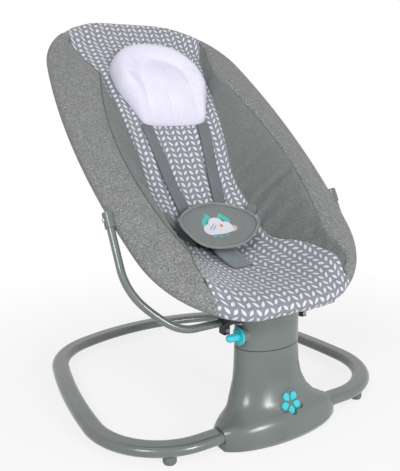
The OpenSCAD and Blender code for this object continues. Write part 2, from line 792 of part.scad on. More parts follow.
module head_cap() {
    color(grey) translate([0, 0, head_top]) {
        loft([
            [for (i = [0:39]) [neck_a * cos(i * 9), neck_b * sin(i * 9), 0]],
            [for (i = [0:39]) [(neck_a - 1) * cos(i * 9), (neck_b - 1) * sin(i * 9), 2]],
            [for (i = [0:39]) [(neck_a - 8) * cos(i * 9), (neck_b - 8) * sin(i * 9), 3.6]],
            [for (i = [0:39]) [neck_a * 0.5 * cos(i * 9), neck_b * 0.5 * sin(i * 9), 4.2]]
        ]);
        translate([0, 0, -5]) linear_extrude(5 + eps) difference() {
            head_oval(-head_wall - 0.3);
            head_oval(-head_wall - 2.3);
        }
    }
}

// ---- recline lock -------------------------------------------------------------------------

guide_neck = 11;
guide_d = 26;
knob_x = neck_a + 4;
knob_flange_t = 3;
quadrant_x = 42;
quadrant_t = 4;
plunger_in = quadrant_x - quadrant_t - 2.5;

// Along the knob's axis, +Z pointing out of the head on the left
module on_knob() {
    translate([0, -knob_y, knob_z]) rotate([0, -90, 0]) children();
}

module knob_guide() {
    color(grey) difference() {
        union() {
            difference() {
                on_knob() translate([0, 0, 46]) cylinder(d = guide_d, h = knob_x - 0.5 - 46);
                translate([0, 0, head_z - 10]) linear_extrude(head_h) head_oval(0.02);
            }
            on_knob() translate([0, 0, neck_a - 13]) cylinder(d = guide_neck - 0.02, h = 13);
        }
        on_knob() cylinder(d = plunger_d + 2 * run_gap, h = 120);
    }
}

module recline_knob() {
    color(teal) on_knob() {
        translate([0, 0, knob_x]) cylinder(d = knob_d, h = knob_flange_t);
        translate([0, 0, knob_x + knob_flange_t - eps]) cylinder(d = knob_grip_d, h = knob_grip - knob_grip_d / 2);
        translate([0, 0, knob_x + knob_flange_t + knob_grip - knob_grip_d / 2]) sphere(d = knob_grip_d);
        translate([0, 0, plunger_in]) cylinder(d = plunger_d, h = knob_x - plunger_in + eps);
    }
}

// Plunger's place seen from the recline axis
lock_r = sqrt(pow(pivot_y + knob_y, 2) + pow(pivot_z - knob_z, 2));
lock_a = atan2(knob_z - pivot_z, -knob_y - pivot_y);

module lock_quadrant() {
    color(steel) translate([-quadrant_x, pivot_y, pivot_z]) rotate([90, 0, 90]) difference() {
        union() {
            cylinder(d = arm_d + 10, h = quadrant_t + 6);
            linear_extrude(quadrant_t) quadrant_outline();
        }
        translate([0, 0, -1]) cylinder(d = arm_d, h = 20);
        // Arc slot with a scallop at each stop
        translate([0, 0, -1]) rotate(lock_a) rotate_extrude(angle = recline_span) translate([lock_r - plunger_d / 2 - 0.3, 0])
            square([plunger_d + 0.6, quadrant_t + 2]);
        for (i = [0:recline_stops - 1]) rotate(lock_a + i * recline_span / (recline_stops - 1))
            translate([lock_r, 0, -1]) cylinder(d = plunger_d + 1.4, h = quadrant_t + 2);
        translate([0, 20, quadrant_t + 3]) rotate([90, 0, 0]) cylinder(d = 3, h = 40);
    }
}

// Sector plate about the slot
module quadrant_outline() {
    ro = lock_r + plunger_d / 2 + 3.5;
    a0 = lock_a - 8;
    a1 = lock_a + recline_span + 8;
    polygon(concat([[0, 0]], [for (i = [0:12]) let (a = a0 + (a1 - a0) * i / 12) [ro * cos(a), ro * sin(a)]]));
}

module quadrant_pin() {
    color(steel) translate([-quadrant_x + quadrant_t + 3, pivot_y, pivot_z]) cylinder(d = 3, h = arm_d + 10, center = true);
}

// ---- support tube -------------------------------------------------------------------------

arm_half = hoop_half_w + arm_out;
arm_a1 = 38;
arm_a2 = 52;
arm_r1 = 75;
arm_r2 = 230;
arm_r3 = 110;
arm_run = arm_half - arm_r1 * sin(arm_a1) - arm_r2 * (sin(arm_a2) - sin(arm_a1)) - arm_r3 * (1 - sin(arm_a2));
arm_rise = arm_r1 * (1 - cos(arm_a1)) + arm_r2 * (cos(arm_a1) - cos(arm_a2)) + arm_r3 * cos(arm_a2);
arm_top = arm_rise + arm_leg;

// Plane of the support tube: +Y up the legs
module in_arm() {
    translate([0, pivot_y, pivot_z]) rotate([arm_lean, 0, 0]) children();
}

arm_steps = [
    [arm_run, arm_r1, arm_a1],
    [0, arm_r2, arm_a2 - arm_a1],
    [0, arm_r3, 90 - arm_a2],
    [arm_leg, 0, 0]
];

module support_tube() {
    color(grey) difference() {
        in_arm() mirrored_x() bent_round(arm_steps, arm_d);
        in_arm() mirrored_x() bent_round(arm_steps, arm_d - 2 * arm_wall);
        translate([-quadrant_x + quadrant_t + 3, pivot_y, pivot_z]) cylinder(d = 3, h = 30, center = true);
        rivet_axis() cylinder(d = rivet_d, h = 60, center = true);
    }
}

// ---- hoop and its fittings ----------------------------------------------------------------

seat_y = -60;
seat_z = 252;
// The hoop's front lies this far below the seat's reference point
hoop_drop = 4;
hoop_mid = hoop_half_l - hoop_drop;

module in_seat() {
    translate([0, seat_y, seat_z]) rotate([seat_tilt, 0, 0]) children();
}

hoop_corner_d = hoop_half_l - hoop_corner_r * (1 - cos(hoop_corner_a));
hoop_side_r = hoop_corner_d / cos(hoop_corner_a);
hoop_end_half = hoop_half_w - hoop_corner_r * sin(hoop_corner_a) - hoop_side_r * (1 - sin(hoop_corner_a));

// Half width of the hoop's centre line, drawn in by g, at distance s up the seat
function hoop_half(s, g) =
    let (d = abs(s - hoop_mid), l = hoop_half_l - g, r = hoop_corner_r - g)
    d > hoop_corner_d
        ? hoop_end_half + sqrt(max(0, r * r - pow(r - (l - d), 2)))
        : hoop_half_w - hoop_side_r + sqrt(pow(hoop_side_r - g, 2) - d * d);

// Corner bend of the hoop's front, and its bowed side, as solid bars for fittings to clear
module hoop_corner(d) {
    in_seat() translate([hoop_end_half, hoop_mid - hoop_half_l + hoop_corner_r, 0]) rotate(-90)
        rotate_extrude(angle = hoop_corner_a) translate([hoop_corner_r, 0]) circle(d = d);
}

module hoop_side(d) {
    in_seat() translate([hoop_half_w - hoop_side_r, hoop_mid, 0]) rotate(hoop_corner_a - 90)
        rotate_extrude(angle = 180 - 2 * hoop_corner_a) translate([hoop_side_r, 0]) circle(d = d);
}

rivet_d = 5;
rivet_t = arm_top - 10;
// Rivet's place up the seat
rivet_y = pivot_y + rivet_t * cos(arm_lean);
rivet_z = pivot_z + rivet_t * sin(arm_lean);
rivet_s = (rivet_y - seat_y) * cos(seat_tilt) + (rivet_z - seat_z) * sin(seat_tilt);
rivet_hoop_x = hoop_half(rivet_s, 0);
rivet_slant = asin((hoop_mid - rivet_s) / hoop_side_r);

module rivet_axis() {
    for (s = [-1, 1]) translate([s * (arm_half + rivet_hoop_x) / 2, rivet_y, rivet_z]) rotate([0, 90, 0]) children();
}

// The hoop is two tubes that meet inside the side sockets
hoop_split = rivet_s + 9;

// Half loop from an end bar round to heading h on the side
module hoop_bar(h, d) {
    wide = min(h, 90);
    steps = [
        [hoop_end_half, hoop_corner_r, hoop_corner_a],
        [0, hoop_side_r, wide - hoop_corner_a],
        if (h > wide) [0, hoop_side_r, h - wide]
    ];
    mirrored_x() bent_round(steps, d);
}

module hoop_half_tube(h) {
    difference() {
        hoop_bar(h, hoop_d);
        hoop_bar(h, hoop_d - 2 * hoop_wall);
        // Trim the bead off the open ends
        mirrored_x() translate([hoop_end_half + 40, hoop_half_l - hoop_side_r * cos(h) - 0.5, -20]) cube([300, 20, 40]);
    }
}

module hoop_lower() {
    color(grey) difference() {
        in_seat() translate([0, hoop_mid - hoop_half_l, 0]) hoop_half_tube(acos((hoop_mid - hoop_split) / hoop_side_r));
        rivet_axis() cylinder(d = rivet_d, h = 60, center = true);
    }
}

module hoop_upper() {
    color(grey) in_seat() translate([0, hoop_mid + hoop_half_l, 0]) mirror([0, 1, 0])
        hoop_half_tube(acos((hoop_split - hoop_mid) / hoop_side_r));
}

module side_socket() {
    sleeve = arm_d + 2 * socket_wall;
    saddle = hoop_d + 2 * socket_wall;
    color(grey) difference() {
        union() {
            in_arm() translate([arm_half, arm_top - 24, 0]) rotate([-90, 0, 0]) cylinder(d = sleeve, h = 27);
            in_seat() translate([rivet_hoop_x, rivet_s, 0]) rotate([-90, 0, -rivet_slant]) translate([0, 0, -socket_l / 2])
                cylinder(d = saddle, h = socket_l);
            translate([(arm_half + rivet_hoop_x) / 2, rivet_y, rivet_z]) rotate([0, 90, 0])
                cylinder(d = 14, h = arm_half - rivet_hoop_x, center = true);
        }
        in_arm() translate([arm_half, arm_top - 40, 0]) rotate([-90, 0, 0]) cylinder(d = arm_d + 0.1, h = 40.1);
        hoop_side(hoop_d + 0.1);
        rivet_axis() cylinder(d = rivet_d, h = 80, center = true);
    }
}

module side_socket_right() { side_socket(); }
module side_socket_left() { mirror([1, 0, 0]) side_socket(); }

rivet_out = arm_half + arm_d / 2 + socket_wall;
rivet_in = rivet_hoop_x - hoop_d / 2 - socket_wall - 0.7;

module socket_rivets() {
    color(steel) mirrored_x() translate([rivet_in, rivet_y, rivet_z]) rotate([0, 90, 0]) {
        cylinder(d = rivet_d, h = rivet_out - rivet_in);
        translate([0, 0, rivet_out - rivet_in]) cylinder(d1 = 9, d2 = 6, h = 1.8);
        translate([0, 0, -1]) cylinder(d = 8, h = 1);
    }
}

bracket_x = 100;
bracket_w = 12;
clamp_x = 82;
clamp_w = 12;
// Where the bracket meets the hoop
bracket_s = hoop_mid - hoop_half_l + hoop_corner_r - sqrt(pow(hoop_corner_r, 2) - pow(bracket_x - hoop_end_half, 2));
bracket_y = seat_y + bracket_s * cos(seat_tilt);
bracket_z = seat_z + bracket_s * sin(seat_tilt);
block_front = 11;
block_drop = 20;
clamp_screw_z = pivot_z - 13;
saddle_drop = 18;

module front_bracket() {
    color(dark) difference() {
        union() {
            translate([clamp_x, pivot_y, pivot_z]) rotate([0, 90, 0]) cylinder(d = arm_d + 9, h = clamp_w);
            translate([clamp_x, pivot_y - block_front, pivot_z - block_drop]) cube([clamp_w, block_front + 5, block_drop]);
            // Arm from the clamp to the hoop
            hull() {
                translate([clamp_x, pivot_y - 7, pivot_z]) rotate([0, 90, 0]) cylinder(d = 12, h = clamp_w, $fn = 32);
                translate([bracket_x - bracket_w / 2, bracket_y + 3, bracket_z - 10]) rotate([0, 90, 0])
                    cylinder(d = 10, h = bracket_w, $fn = 32);
            }
            // Saddle under the hoop
            translate([bracket_x - bracket_w / 2, bracket_y - 2.5, bracket_z - saddle_drop])
                cube([bracket_w, 11.5, saddle_drop - 1]);
        }
        translate([clamp_x - 1, pivot_y, pivot_z]) rotate([0, 90, 0]) cylinder(d = arm_d + 0.1, h = clamp_w + 1);
        translate([clamp_x + clamp_w - eps, pivot_y, pivot_z]) rotate([0, 90, 0]) cylinder(d = arm_d + 0.4, h = 40);
        hoop_corner(hoop_d + 0.1);
        translate([clamp_x + clamp_w / 2, pivot_y - block_front - 1, clamp_screw_z]) rotate([-90, 0, 0])
            cylinder(d = screw_d, h = 15);
        translate([bracket_x, bracket_y + 3, bracket_z - saddle_drop - 1]) cylinder(d = screw_d, h = 11);
    }
}

module front_bracket_right() { front_bracket(); }
module front_bracket_left() { mirror([1, 0, 0]) front_bracket(); }

module bracket_screws() {
    color(steel) mirrored_x() {
        translate([clamp_x + clamp_w / 2, pivot_y - block_front, clamp_screw_z]) rotate([90, 0, 0]) pan_screw(screw_d, 14);
        translate([bracket_x, bracket_y + 3, bracket_z - saddle_drop]) mirror([0, 0, 1]) pan_screw(screw_d, 9.9);
    }
}

// ---- fabric -------------------------------------------------------------------------------

// Room left round the hoop for its sleeve and the side fittings
soft_in = hoop_d / 2 + socket_wall + 3;
layer = 0.5;
// Space under the insert and the wings, and under the straps
under_gap = 2;
strap_gap = 1.6;

function smax(a, b, k) = (a + b + sqrt((a - b) * (a - b) + k * k)) / 2;
function smin(a, b, k) = (a + b - sqrt((a - b) * (a - b) + k * k)) / 2;
function bump(x, w) = exp(-x * x / (w * w));
// Smooth step from 0 to 1 as x goes from a to b
function ease(x, a, b) = let (t = min(1, max(0, (x - a) / (b - a)))) t * t * (3 - 2 * t);

// Middle line of the seat's face: pan, then back rest, height over the hoop's plane
function seat_mid(s) =
    smin(smax(-pan_slope * (s - 40), -93 + back_slope * (s - 301), 52), 4, 22);
// Edge of the insert: half width and height
function edge_x(s) = insert_half
    + (s > 330 ? 26 * pow((s - 330) / 260, 2) : (insert_front - insert_half) * (1 - ease(s, 70, 290)));
function edge_n(s) = -5 - 62 * bump(s - 320, 130) + 30 * bump(s - 50, 60);
// Crest of the side wings
function crest_x(s) = min(hoop_half(s, soft_in) - 5, max(edge_x(s) + 8, crest_half - 54 * pow((s - 345) / 280, 2)));
function crest_h(s) = crest_n + 8 * bump(s - 60, 60) - 14 * ease(s, 560, 690);

// Face of the insert at x across and s up
lip_s = hoop_mid - hoop_half_l;
lip_n = hoop_d / 2 + 1.2 + 5.5;
function face_mid(s) = seat_mid(s) + (lip_n - seat_mid(s)) * (1 - ease(s, lip_s, 60));
function face_edge(s) = lip_n + (edge_n(s) - lip_n) * ease(s, lip_s, 30);
function face(x, s) = face_mid(s) + (face_edge(s) - face_mid(s)) * pow(min(1, abs(x) / edge_x(s)), 2.5);
function pad_t(s) = insert_t - (insert_t - 5.5) * (1 - ease(s, 10, 70));

// Upper surface of the sling under the insert
sling_s0 = lip_s + soft_in + 1;
sling_s1 = hoop_mid + hoop_half_l - soft_in - 1;
function sling_mid(s) = face_mid(s) - pad_t(s) - under_gap;
function sling_edge(s) = -9 * ease(s, 0, 70);
function sling(x, s) =
    sling_mid(s) + (sling_edge(s) - sling_mid(s)) * pow(min(1, abs(x) / hoop_half(s, soft_in)), 2.2);

function stations(a, b, n) = [for (i = [0:n]) a + (b - a) * i / n];
// Places up the seat shared by every layer, so that they lie on one another
row_step = 21;
rows = [for (s = [sling_s0 + 8:row_step:sling_s1 - 6]) s];
wing_rows = [for (s = rows) if (s > lip_s + 58 && s < hoop_mid + 306) s];

// Closed strip across the seat: top and bottom heights at the given places
function strip(xs, s, top, bottom) =
    concat([for (i = [0:len(xs) - 1]) [xs[i], s, bottom[i]]], [for (i = [len(xs) - 1:-1:0]) [xs[i], s, top[i]]]);

module seat_sling() {
    color(grey) in_seat() loft_y([for (s = concat([sling_s0], rows, [sling_s1]))
        let (w = hoop_half(s, soft_in), xs = [for (u = [-10:10]) w * u / 10])
        strip(xs, s, [for (x = xs) sling(x, s)], [for (x = xs) sling(x, s) - sling_t])]);
}

// Station of a wing: round the insert's edge, over the crest and out to the hoop
function wing_ring(s) =
    let (
        x0 = edge_x(s) + 1,
        xc = crest_x(s),
        x1 = hoop_half(s, soft_in),
        n0 = edge_n(s),
        nc = crest_h(s)
    )
    concat(
        [for (u = [0:4]) let (x = x0 + (x1 - x0) * u / 4) [x, s, sling(x, s) + under_gap]],
        [[x1, s, 5], [(xc + 2 * x1) / 3, s, nc * 0.8 + 4], [(2 * xc + x1) / 3, s, nc + 2], [xc, s, nc],
            [xc * 0.6 + x0 * 0.4, s, nc * 0.55 + n0 * 0.45], [x0, s, max(n0, sling(x0, s) + under_gap + 3)]]
    );

module side_wing() {
    color(heather) in_seat() loft_y([for (s = wing_rows) wing_ring(s)]);
}

module side_wing_right() { side_wing(); }
module side_wing_left() { mirror([1, 0, 0]) side_wing(); }

// How far the hoop's front has curved back at x, faded out up the seat
function front_bow(x, s) = (1 - ease(s, 20, 110))
    * (hoop_corner_r - sqrt(pow(hoop_corner_r, 2) - pow(max(0, min(abs(x), 150) - hoop_end_half), 2)));

// Station of the insert along its face
function insert_ring(s) =
    let (w = s < 130 ? edge_x(s) : min(edge_x(s), hoop_half(s, soft_in + 1)), xs = [for (u = [-8:8]) w * u / 8])
    concat(
        [for (x = xs) let (q = s + front_bow(x, s)) [x, q, max(face(x, s) - pad_t(s), sling(x, q) + under_gap)]],
        [for (i = [16:-1:0]) [xs[i], s + front_bow(xs[i], s), face(xs[i], s)]]
    );

// Station of the front edge as it turns down round the hoop, at angle a from straight back
function front_slant(x) = sqrt(1 - pow(max(0, min(abs(x), 150) - hoop_end_half) / hoop_corner_r, 2));
function lip_ring(a) =
    let (w = edge_x(lip_s), r = lip_n, xs = [for (u = [-8:8]) w * u / 8])
    concat(
        [for (x = xs) [x, lip_s + front_bow(x, 0) + (r - 5.2) * cos(a) / front_slant(x), (r - 5.2) * sin(a)]],
        [for (i = [16:-1:0]) let (x = xs[i]) [x, lip_s + front_bow(x, 0) + r * cos(a) / front_slant(x), r * sin(a)]]
    );

// Solid through strips of 2 x m points stacked along Y; its ends are ladders, so they need not be flat
module loft_strip(rings) {
    n = len(rings[0]);
    m = n / 2;
    last = (len(rings) - 1) * n;
    sides = [for (i = [0:len(rings) - 2], j = [0:n - 1])
        let (k = (j + 1) % n)
        each [[i * n + j, i * n + k, (i + 1) * n + k], [i * n + j, (i + 1) * n + k, (i + 1) * n + j]]];
    ladder = [for (i = [0:m - 2]) each [[i, i + 1, n - 2 - i], [i, n - 2 - i, n - 1 - i]]];
    ends = concat([for (f = ladder) reverse(f)], [for (f = ladder) [f[0] + last, f[1] + last, f[2] + last]]);
    polyhedron(points = [for (r = rings) each r], faces = concat(sides, ends));
}

// Last place of the insert at the head end
insert_s1 = sling_s1 - 5;

module seat_insert() {
    color(lavender) in_seat() loft_strip(concat(
        [for (a = [205:-23:113]) lip_ring(a)],
        [for (s = concat([lip_s + 1], rows)) if (s < insert_s1 - 4) insert_ring(s)],
        [insert_ring(insert_s1)]
    ));
}

// Pillow: tapers to its flat lower edge
pillow_s0 = 482;
function pillow_w(t) = pillow_half * (0.84 + 0.16 * ease(t, 0, 0.45)) * sqrt(1 - pow(max(0, (t - 0.55) / 0.47), 3));
function pillow_t(t) = 22 + 26 * ease(t, 0, 0.6);

module head_pillow() {
    color([0.91, 0.90, 0.96]) in_seat() loft_y([for (t = stations(0, 1, 10))
        let (s = pillow_s0 + pillow_l * t, w = pillow_w(t), xs = [for (u = [-7:7]) w * u / 7],
            low = [for (x = xs) face(x, s) + layer])
        strip(xs, s, [for (i = [0:14]) low[i] + 3 + (pillow_t(t) - 3) * sqrt(max(0, 1 - pow(abs(i - 7) / 7, 4)))
            * (0.35 + 0.65 * ease(t, -0.02, 0.12)) * (0.4 + 0.6 * ease(1.02 - t, 0, 0.14))], low)]);
}

// ---- harness ------------------------------------------------------------------------------

buckle_s = 222;
strap_s0 = 254;
strap_x0 = 38;
strap_s1 = 479;
strap_x1 = 68;

// Band of webbing lying on the face at half height h, along a line of [x, s] places
function web_ring(x, s, w, h) =
    let (xs = [x - w / 2, x, x + w / 2])
    strip(xs, s, [for (q = xs) face(q, s) + h + web_t], [for (q = xs) face(q, s) + h]);

module shoulder_strap() {
    color([0.43, 0.46, 0.46]) in_seat() loft_y([for (t = stations(0, 1, 12))
        web_ring(strap_x0 + (strap_x1 - strap_x0) * t, strap_s0 + (strap_s1 - strap_s0) * t, shoulder_w, strap_gap)]);
}

module shoulder_strap_right() { shoulder_strap(); }
module shoulder_strap_left() { mirror([1, 0, 0]) shoulder_strap(); }

tongue_x = 46;
waist_x1 = 103;

// Waist strap: runs out and up from the buckle to the wing
module waist_strap() {
    color([0.43, 0.46, 0.46]) in_seat() loft([for (t = stations(0, 1, 8))
        let (x = tongue_x + 0.5 + (waist_x1 - tongue_x) * t, s = buckle_s + 70 * t * t, q = [s - web_w / 2, s, s + web_w / 2])
        concat([for (i = [0:2]) [x, q[i], face(x, q[i]) + strap_gap]],
            [for (i = [2:-1:0]) [x, q[i], face(x, q[i]) + strap_gap + web_t]])]);
}

module waist_strap_right() { waist_strap(); }
module waist_strap_left() { mirror([1, 0, 0]) waist_strap(); }

crotch_w = 45;

module crotch_strap() {
    color([0.45, 0.48, 0.52]) in_seat() loft_y([for (s = stations(112, buckle_s - 22, 6))
        let (xs = [for (u = [-3:3]) crotch_w / 2 * u / 3])
        strip(xs, s, [for (x = xs) face(x, s) + strap_gap + web_t + 1], [for (x = xs) face(x, s) + strap_gap])]);
}

buckle_n = face(23, buckle_s - 21) + 4.6;
buckle_t = 13;
release_d = 15;

module buckle_body() {
    color(dark) in_seat() difference() {
        translate([0, buckle_s, buckle_n]) linear_extrude(buckle_t) difference() {
            offset(r = 6) square([34, 30], center = true);
            // Slots the tongues push into
            for (s = [-1, 1]) translate([s * 24, 0]) square([12, 22], center = true);
        }
        translate([0, buckle_s, buckle_n + buckle_t - 5]) cylinder(d = release_d + 0.4, h = 10);
    }
}

module buckle_button() {
    color([0.3, 0.32, 0.33]) in_seat() translate([0, buckle_s, buckle_n + buckle_t - 2.5]) {
        cylinder(d = release_d, h = 3.5);
        translate([0, 0, 3.5 - eps]) cylinder(d1 = release_d, d2 = release_d - 2, h = 0.8);
    }
}

module buckle_tongue() {
    color(dark) in_seat() translate([0, buckle_s, buckle_n + 3]) linear_extrude(5) difference() {
        union() {
            translate([18.2, -10]) square([14, 20]);
            translate([tongue_x - 15, -15]) square([15, 30]);
        }
        translate([tongue_x - 7, -web_w / 2 - 1]) square([4, web_w + 2]);
    }
}

module buckle_tongue_right() { buckle_tongue(); }
module buckle_tongue_left() { mirror([1, 0, 0]) buckle_tongue(); }

cover_s = 232;
function cover_low(x, s) = face(x, s) + strap_gap + web_t + 1.5 + (buckle_t + 10) * sqrt(max(0, 1 - pow(x / cover_half_w, 2)));

// Oval padded cover over the buckle
module buckle_cover() {
    color([0.55, 0.56, 0.56]) in_seat() loft_y([for (a = [-80:16:80])
        let (s = cover_s + cover_half_l * sin(a), w = cover_half_w * cos(a), xs = [for (u = [-6:6]) w * u / 6])
        strip(xs, s, [for (i = [0:12]) cover_low(xs[i], s) + 2 + (cover_t - 2) * sqrt(max(0, 1 - pow(abs(i - 6) / 6, 4))) * (0.3 + 0.7 * cos(a))],
            [for (x = xs) cover_low(x, s)])]);
}

base_ring();
ring_feet();
base_plate();
plate_pads();
plate_screws();
ring_bolts();
pedestal_cover();
chassis();
chassis_screws();
upper_bearing();
lower_bearing();
motor_gearbox();
swing_motor();
gearbox_screws();
control_board();
tact_switches();
speaker();
dc_inlet();
drive_pinion();
power_button();
speed_button();
timer_button();
melody_button();
volume_button();
spindle();
sector_gear();
spindle_clip();
head_core();
core_bolt();
core_screws();
head_shell();
head_cap();
knob_guide();
recline_knob();
support_tube();
lock_quadrant();
quadrant_pin();
side_socket_left();
side_socket_right();
socket_rivets();
front_bracket_left();
front_bracket_right();
bracket_screws();
hoop_lower();
hoop_upper();
seat_sling();
side_wing_left();
side_wing_right();
seat_insert();
head_pillow();
shoulder_strap_left();
shoulder_strap_right();
waist_strap_left();
waist_strap_right();
crotch_strap();
buckle_body();
buckle_tongue_left();
buckle_tongue_right();
buckle_button();
buckle_cover();
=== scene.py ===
"""Bouncer seat: fabric, padding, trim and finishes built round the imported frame."""
import json
import math

import bmesh
import bpy
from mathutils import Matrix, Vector, noise


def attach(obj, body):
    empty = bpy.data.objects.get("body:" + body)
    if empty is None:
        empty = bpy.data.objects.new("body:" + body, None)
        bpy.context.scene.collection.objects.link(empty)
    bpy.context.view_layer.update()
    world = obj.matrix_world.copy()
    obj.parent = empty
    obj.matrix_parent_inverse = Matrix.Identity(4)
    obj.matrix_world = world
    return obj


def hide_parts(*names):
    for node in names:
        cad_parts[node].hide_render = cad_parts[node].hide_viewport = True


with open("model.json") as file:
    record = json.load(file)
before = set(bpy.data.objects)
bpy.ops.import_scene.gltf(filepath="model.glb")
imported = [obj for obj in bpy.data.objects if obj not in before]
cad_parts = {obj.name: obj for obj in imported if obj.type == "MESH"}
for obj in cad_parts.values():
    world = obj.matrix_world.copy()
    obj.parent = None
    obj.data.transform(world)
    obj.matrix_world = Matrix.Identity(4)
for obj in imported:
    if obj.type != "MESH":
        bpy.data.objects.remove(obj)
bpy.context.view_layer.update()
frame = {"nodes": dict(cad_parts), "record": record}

bl_info = {
    "name": "Bouncer seat",
    "version": (1, 0, 0),
    "blender": (4, 5, 0),
    "location": "View3D > Sidebar > Bouncer",
    "description": "Builds the fabric, harness, trim and finishes of a bouncer seat round its frame",
    "category": "Object",
}

NODES = frame["nodes"]

# ---- seat form: the frame's own sizes, in millimetres --------------------------------------

TILT = math.radians(39.5)
SEAT_Y, SEAT_Z = -60.0, 252.0
HOOP_HALF_L, HOOP_HALF_W = 394.0, 248.0
HOOP_MID = HOOP_HALF_L - 4
CORNER_R, CORNER_A = 175.0, math.radians(80)
LIP_S = HOOP_MID - HOOP_HALF_L
HEAD_S = HOOP_MID + HOOP_HALF_L
CORNER_D = HOOP_HALF_L - CORNER_R * (1 - math.cos(CORNER_A))
SIDE_R = CORNER_D / math.cos(CORNER_A)
END_HALF = HOOP_HALF_W - CORNER_R * math.sin(CORNER_A) - SIDE_R * (1 - math.sin(CORNER_A))
# How far in from the hoop's line the padding ends, the radii of the sling's sleeve and of the
# wings' band round the tube, and the height of the insert's face where it turns over the tube
SOFT_IN = 13.5
SLEEVE_R = 9.7
BAND_R = 12.3
LIP_N = 14.7


def seat(x, s, n):
    """Place on the seat (across, up the seat, above the hoop's plane) in metres of the frame."""
    return Vector((
        x,
        SEAT_Y + s * math.cos(TILT) - n * math.sin(TILT),
        SEAT_Z + s * math.sin(TILT) + n * math.cos(TILT),
    )) * 0.001


def clamp(t, a=0.0, b=1.0):
    return min(b, max(a, t))


def ease(x, a, b):
    t = clamp((x - a) / (b - a))
    return t * t * (3 - 2 * t)


def mix(a, b, t):
    return a + (b - a) * t


def bump(x, w):
    """1 at x = 0, falling away to both sides over about w."""
    return math.exp(-x * x / (w * w))


def smax(a, b, k):
    """The larger, with the corner between them rounded by k."""
    return (a + b + math.hypot(a - b, k)) / 2


def smin(a, b, k):
    """The smaller, with the corner between them rounded by k."""
    return (a + b - math.hypot(a - b, k)) / 2


def seat_mid(s):
    """Middle line of the insert's face: pan, then back rest."""
    return smin(smax(-0.82 * (s - 40), -93 + 0.35 * (s - 301), 52), 4, 22)


def edge_x(s):
    """Half width of the insert: narrow at the waist, wider to both ends."""
    return 108 + (26 * ((s - 330) / 260) ** 2 if s > 330 else 40 * (1 - ease(s, 85, 228)))


def edge_n(s):
    """Height of the insert's side edges."""
    return -5 - 62 * bump(s - 320, 130) + 30 * bump(s - 50, 60) - 34 * bump(s - 200, 42)


def crest_x(s):
    """Half width at the wings' crest seam."""
    return min(hoop_half(s, SOFT_IN) - 5, max(edge_x(s) + 8, 186 - 54 * ((s - 345) / 280) ** 2))


def crest_h(s):
    """Height of the wings' crest seam."""
    return 20 + 8 * bump(s - 60, 60) - 12 * ease(s, 560, 690)


def face_mid(s):
    """Middle line of the insert's face, raised to lie over the hoop at the foot."""
    return seat_mid(s) + (LIP_N - seat_mid(s)) * (1 - ease(s, LIP_S, 60))


def face(x, s):
    """Height of the insert's face."""
    edge = LIP_N + (edge_n(s) - LIP_N) * ease(s, LIP_S, 30)
    return face_mid(s) + (edge - face_mid(s)) * min(1, abs(x) / edge_x(s)) ** 2.5


def pad_t(s):
    """Thickness of the insert."""
    return 12 - 6.5 * (1 - ease(s, 10, 70))


def hoop_half(s, g):
    """Half width of the hoop's centre line drawn in by g."""
    d = abs(s - HOOP_MID)
    if d > CORNER_D:
        r = CORNER_R - g
        return END_HALF + math.sqrt(max(0, r * r - (r - (HOOP_HALF_L - g - d)) ** 2))
    return HOOP_HALF_W - SIDE_R + math.sqrt((SIDE_R - g) ** 2 - d * d)


def hoop_end(x):
    """How far the hoop has turned back from its end bar at x across."""
    over = min(max(0.0, abs(x) - END_HALF), CORNER_R * 0.98)
    return CORNER_R - math.sqrt(CORNER_R * CORNER_R - over ** 2)


def sling(x, s):
    """Height of the cloth shell under the seat."""
    low = face_mid(s) - pad_t(s) - 2
    edge = -9 * ease(s, 0, 70)
    half = max(1, hoop_half(clamp(s, LIP_S + 15, HEAD_S - 15), SOFT_IN))
    return low + (edge - low) * min(1, abs(x) / half) ** 2.2


# Arc lengths of a quarter of the hoop: end bar, corner, side
BAR, CORNER, SIDE = END_HALF, CORNER_R * CORNER_A, SIDE_R * (math.pi / 2 - CORNER_A)
QUARTER = BAR + CORNER + SIDE
LOOP = 4 * QUARTER


def hoop_quarter(q):
    """Point and outward direction at arc length q from the middle of an end bar, in the quarter x >= 0."""
    if q <= BAR:
        return q, 0.0, 0.0, -1.0
    if q <= BAR + CORNER:
        a = (q - BAR) / CORNER_R
        return END_HALF + CORNER_R * math.sin(a), CORNER_R * (1 - math.cos(a)), math.sin(a), -math.cos(a)
    a = CORNER_A + (q - BAR - CORNER) / SIDE_R
    c, s = math.cos(a), math.sin(a)
    return HOOP_HALF_W - SIDE_R * (1 - s), HOOP_HALF_L - SIDE_R * c, s, -c


def hoop(q):
    """Hoop centre line at arc length q from the middle of the foot end: x, s and the outward direction."""
    q = q % LOOP
    side = 1
    if q > 2 * QUARTER:
        q, side = LOOP - q, -1
    if q <= QUARTER:
        x, d, ox, os = hoop_quarter(q)
        return side * x, LIP_S + d, side * ox, os
    x, d, ox, os = hoop_quarter(2 * QUARTER - q)
    return side * x, HEAD_S - d, side * ox, -os


# ---- mesh helpers ---------------------------------------------------------------------------


def finish_mesh(name, bm, body, mat):
    """Makes a smooth-shaded object of bm, riding on body and its material."""
    bmesh.ops.recalc_face_normals(bm, faces=bm.faces)
    mesh = bpy.data.meshes.new(name)
    for f in bm.faces:
        f.smooth = True
    bm.to_mesh(mesh)
    bm.free()
    obj = bpy.data.objects.new(name, mesh)
    bpy.context.scene.collection.objects.link(obj)
    obj.data.materials.append(mat)
    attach(obj, body)
    return obj


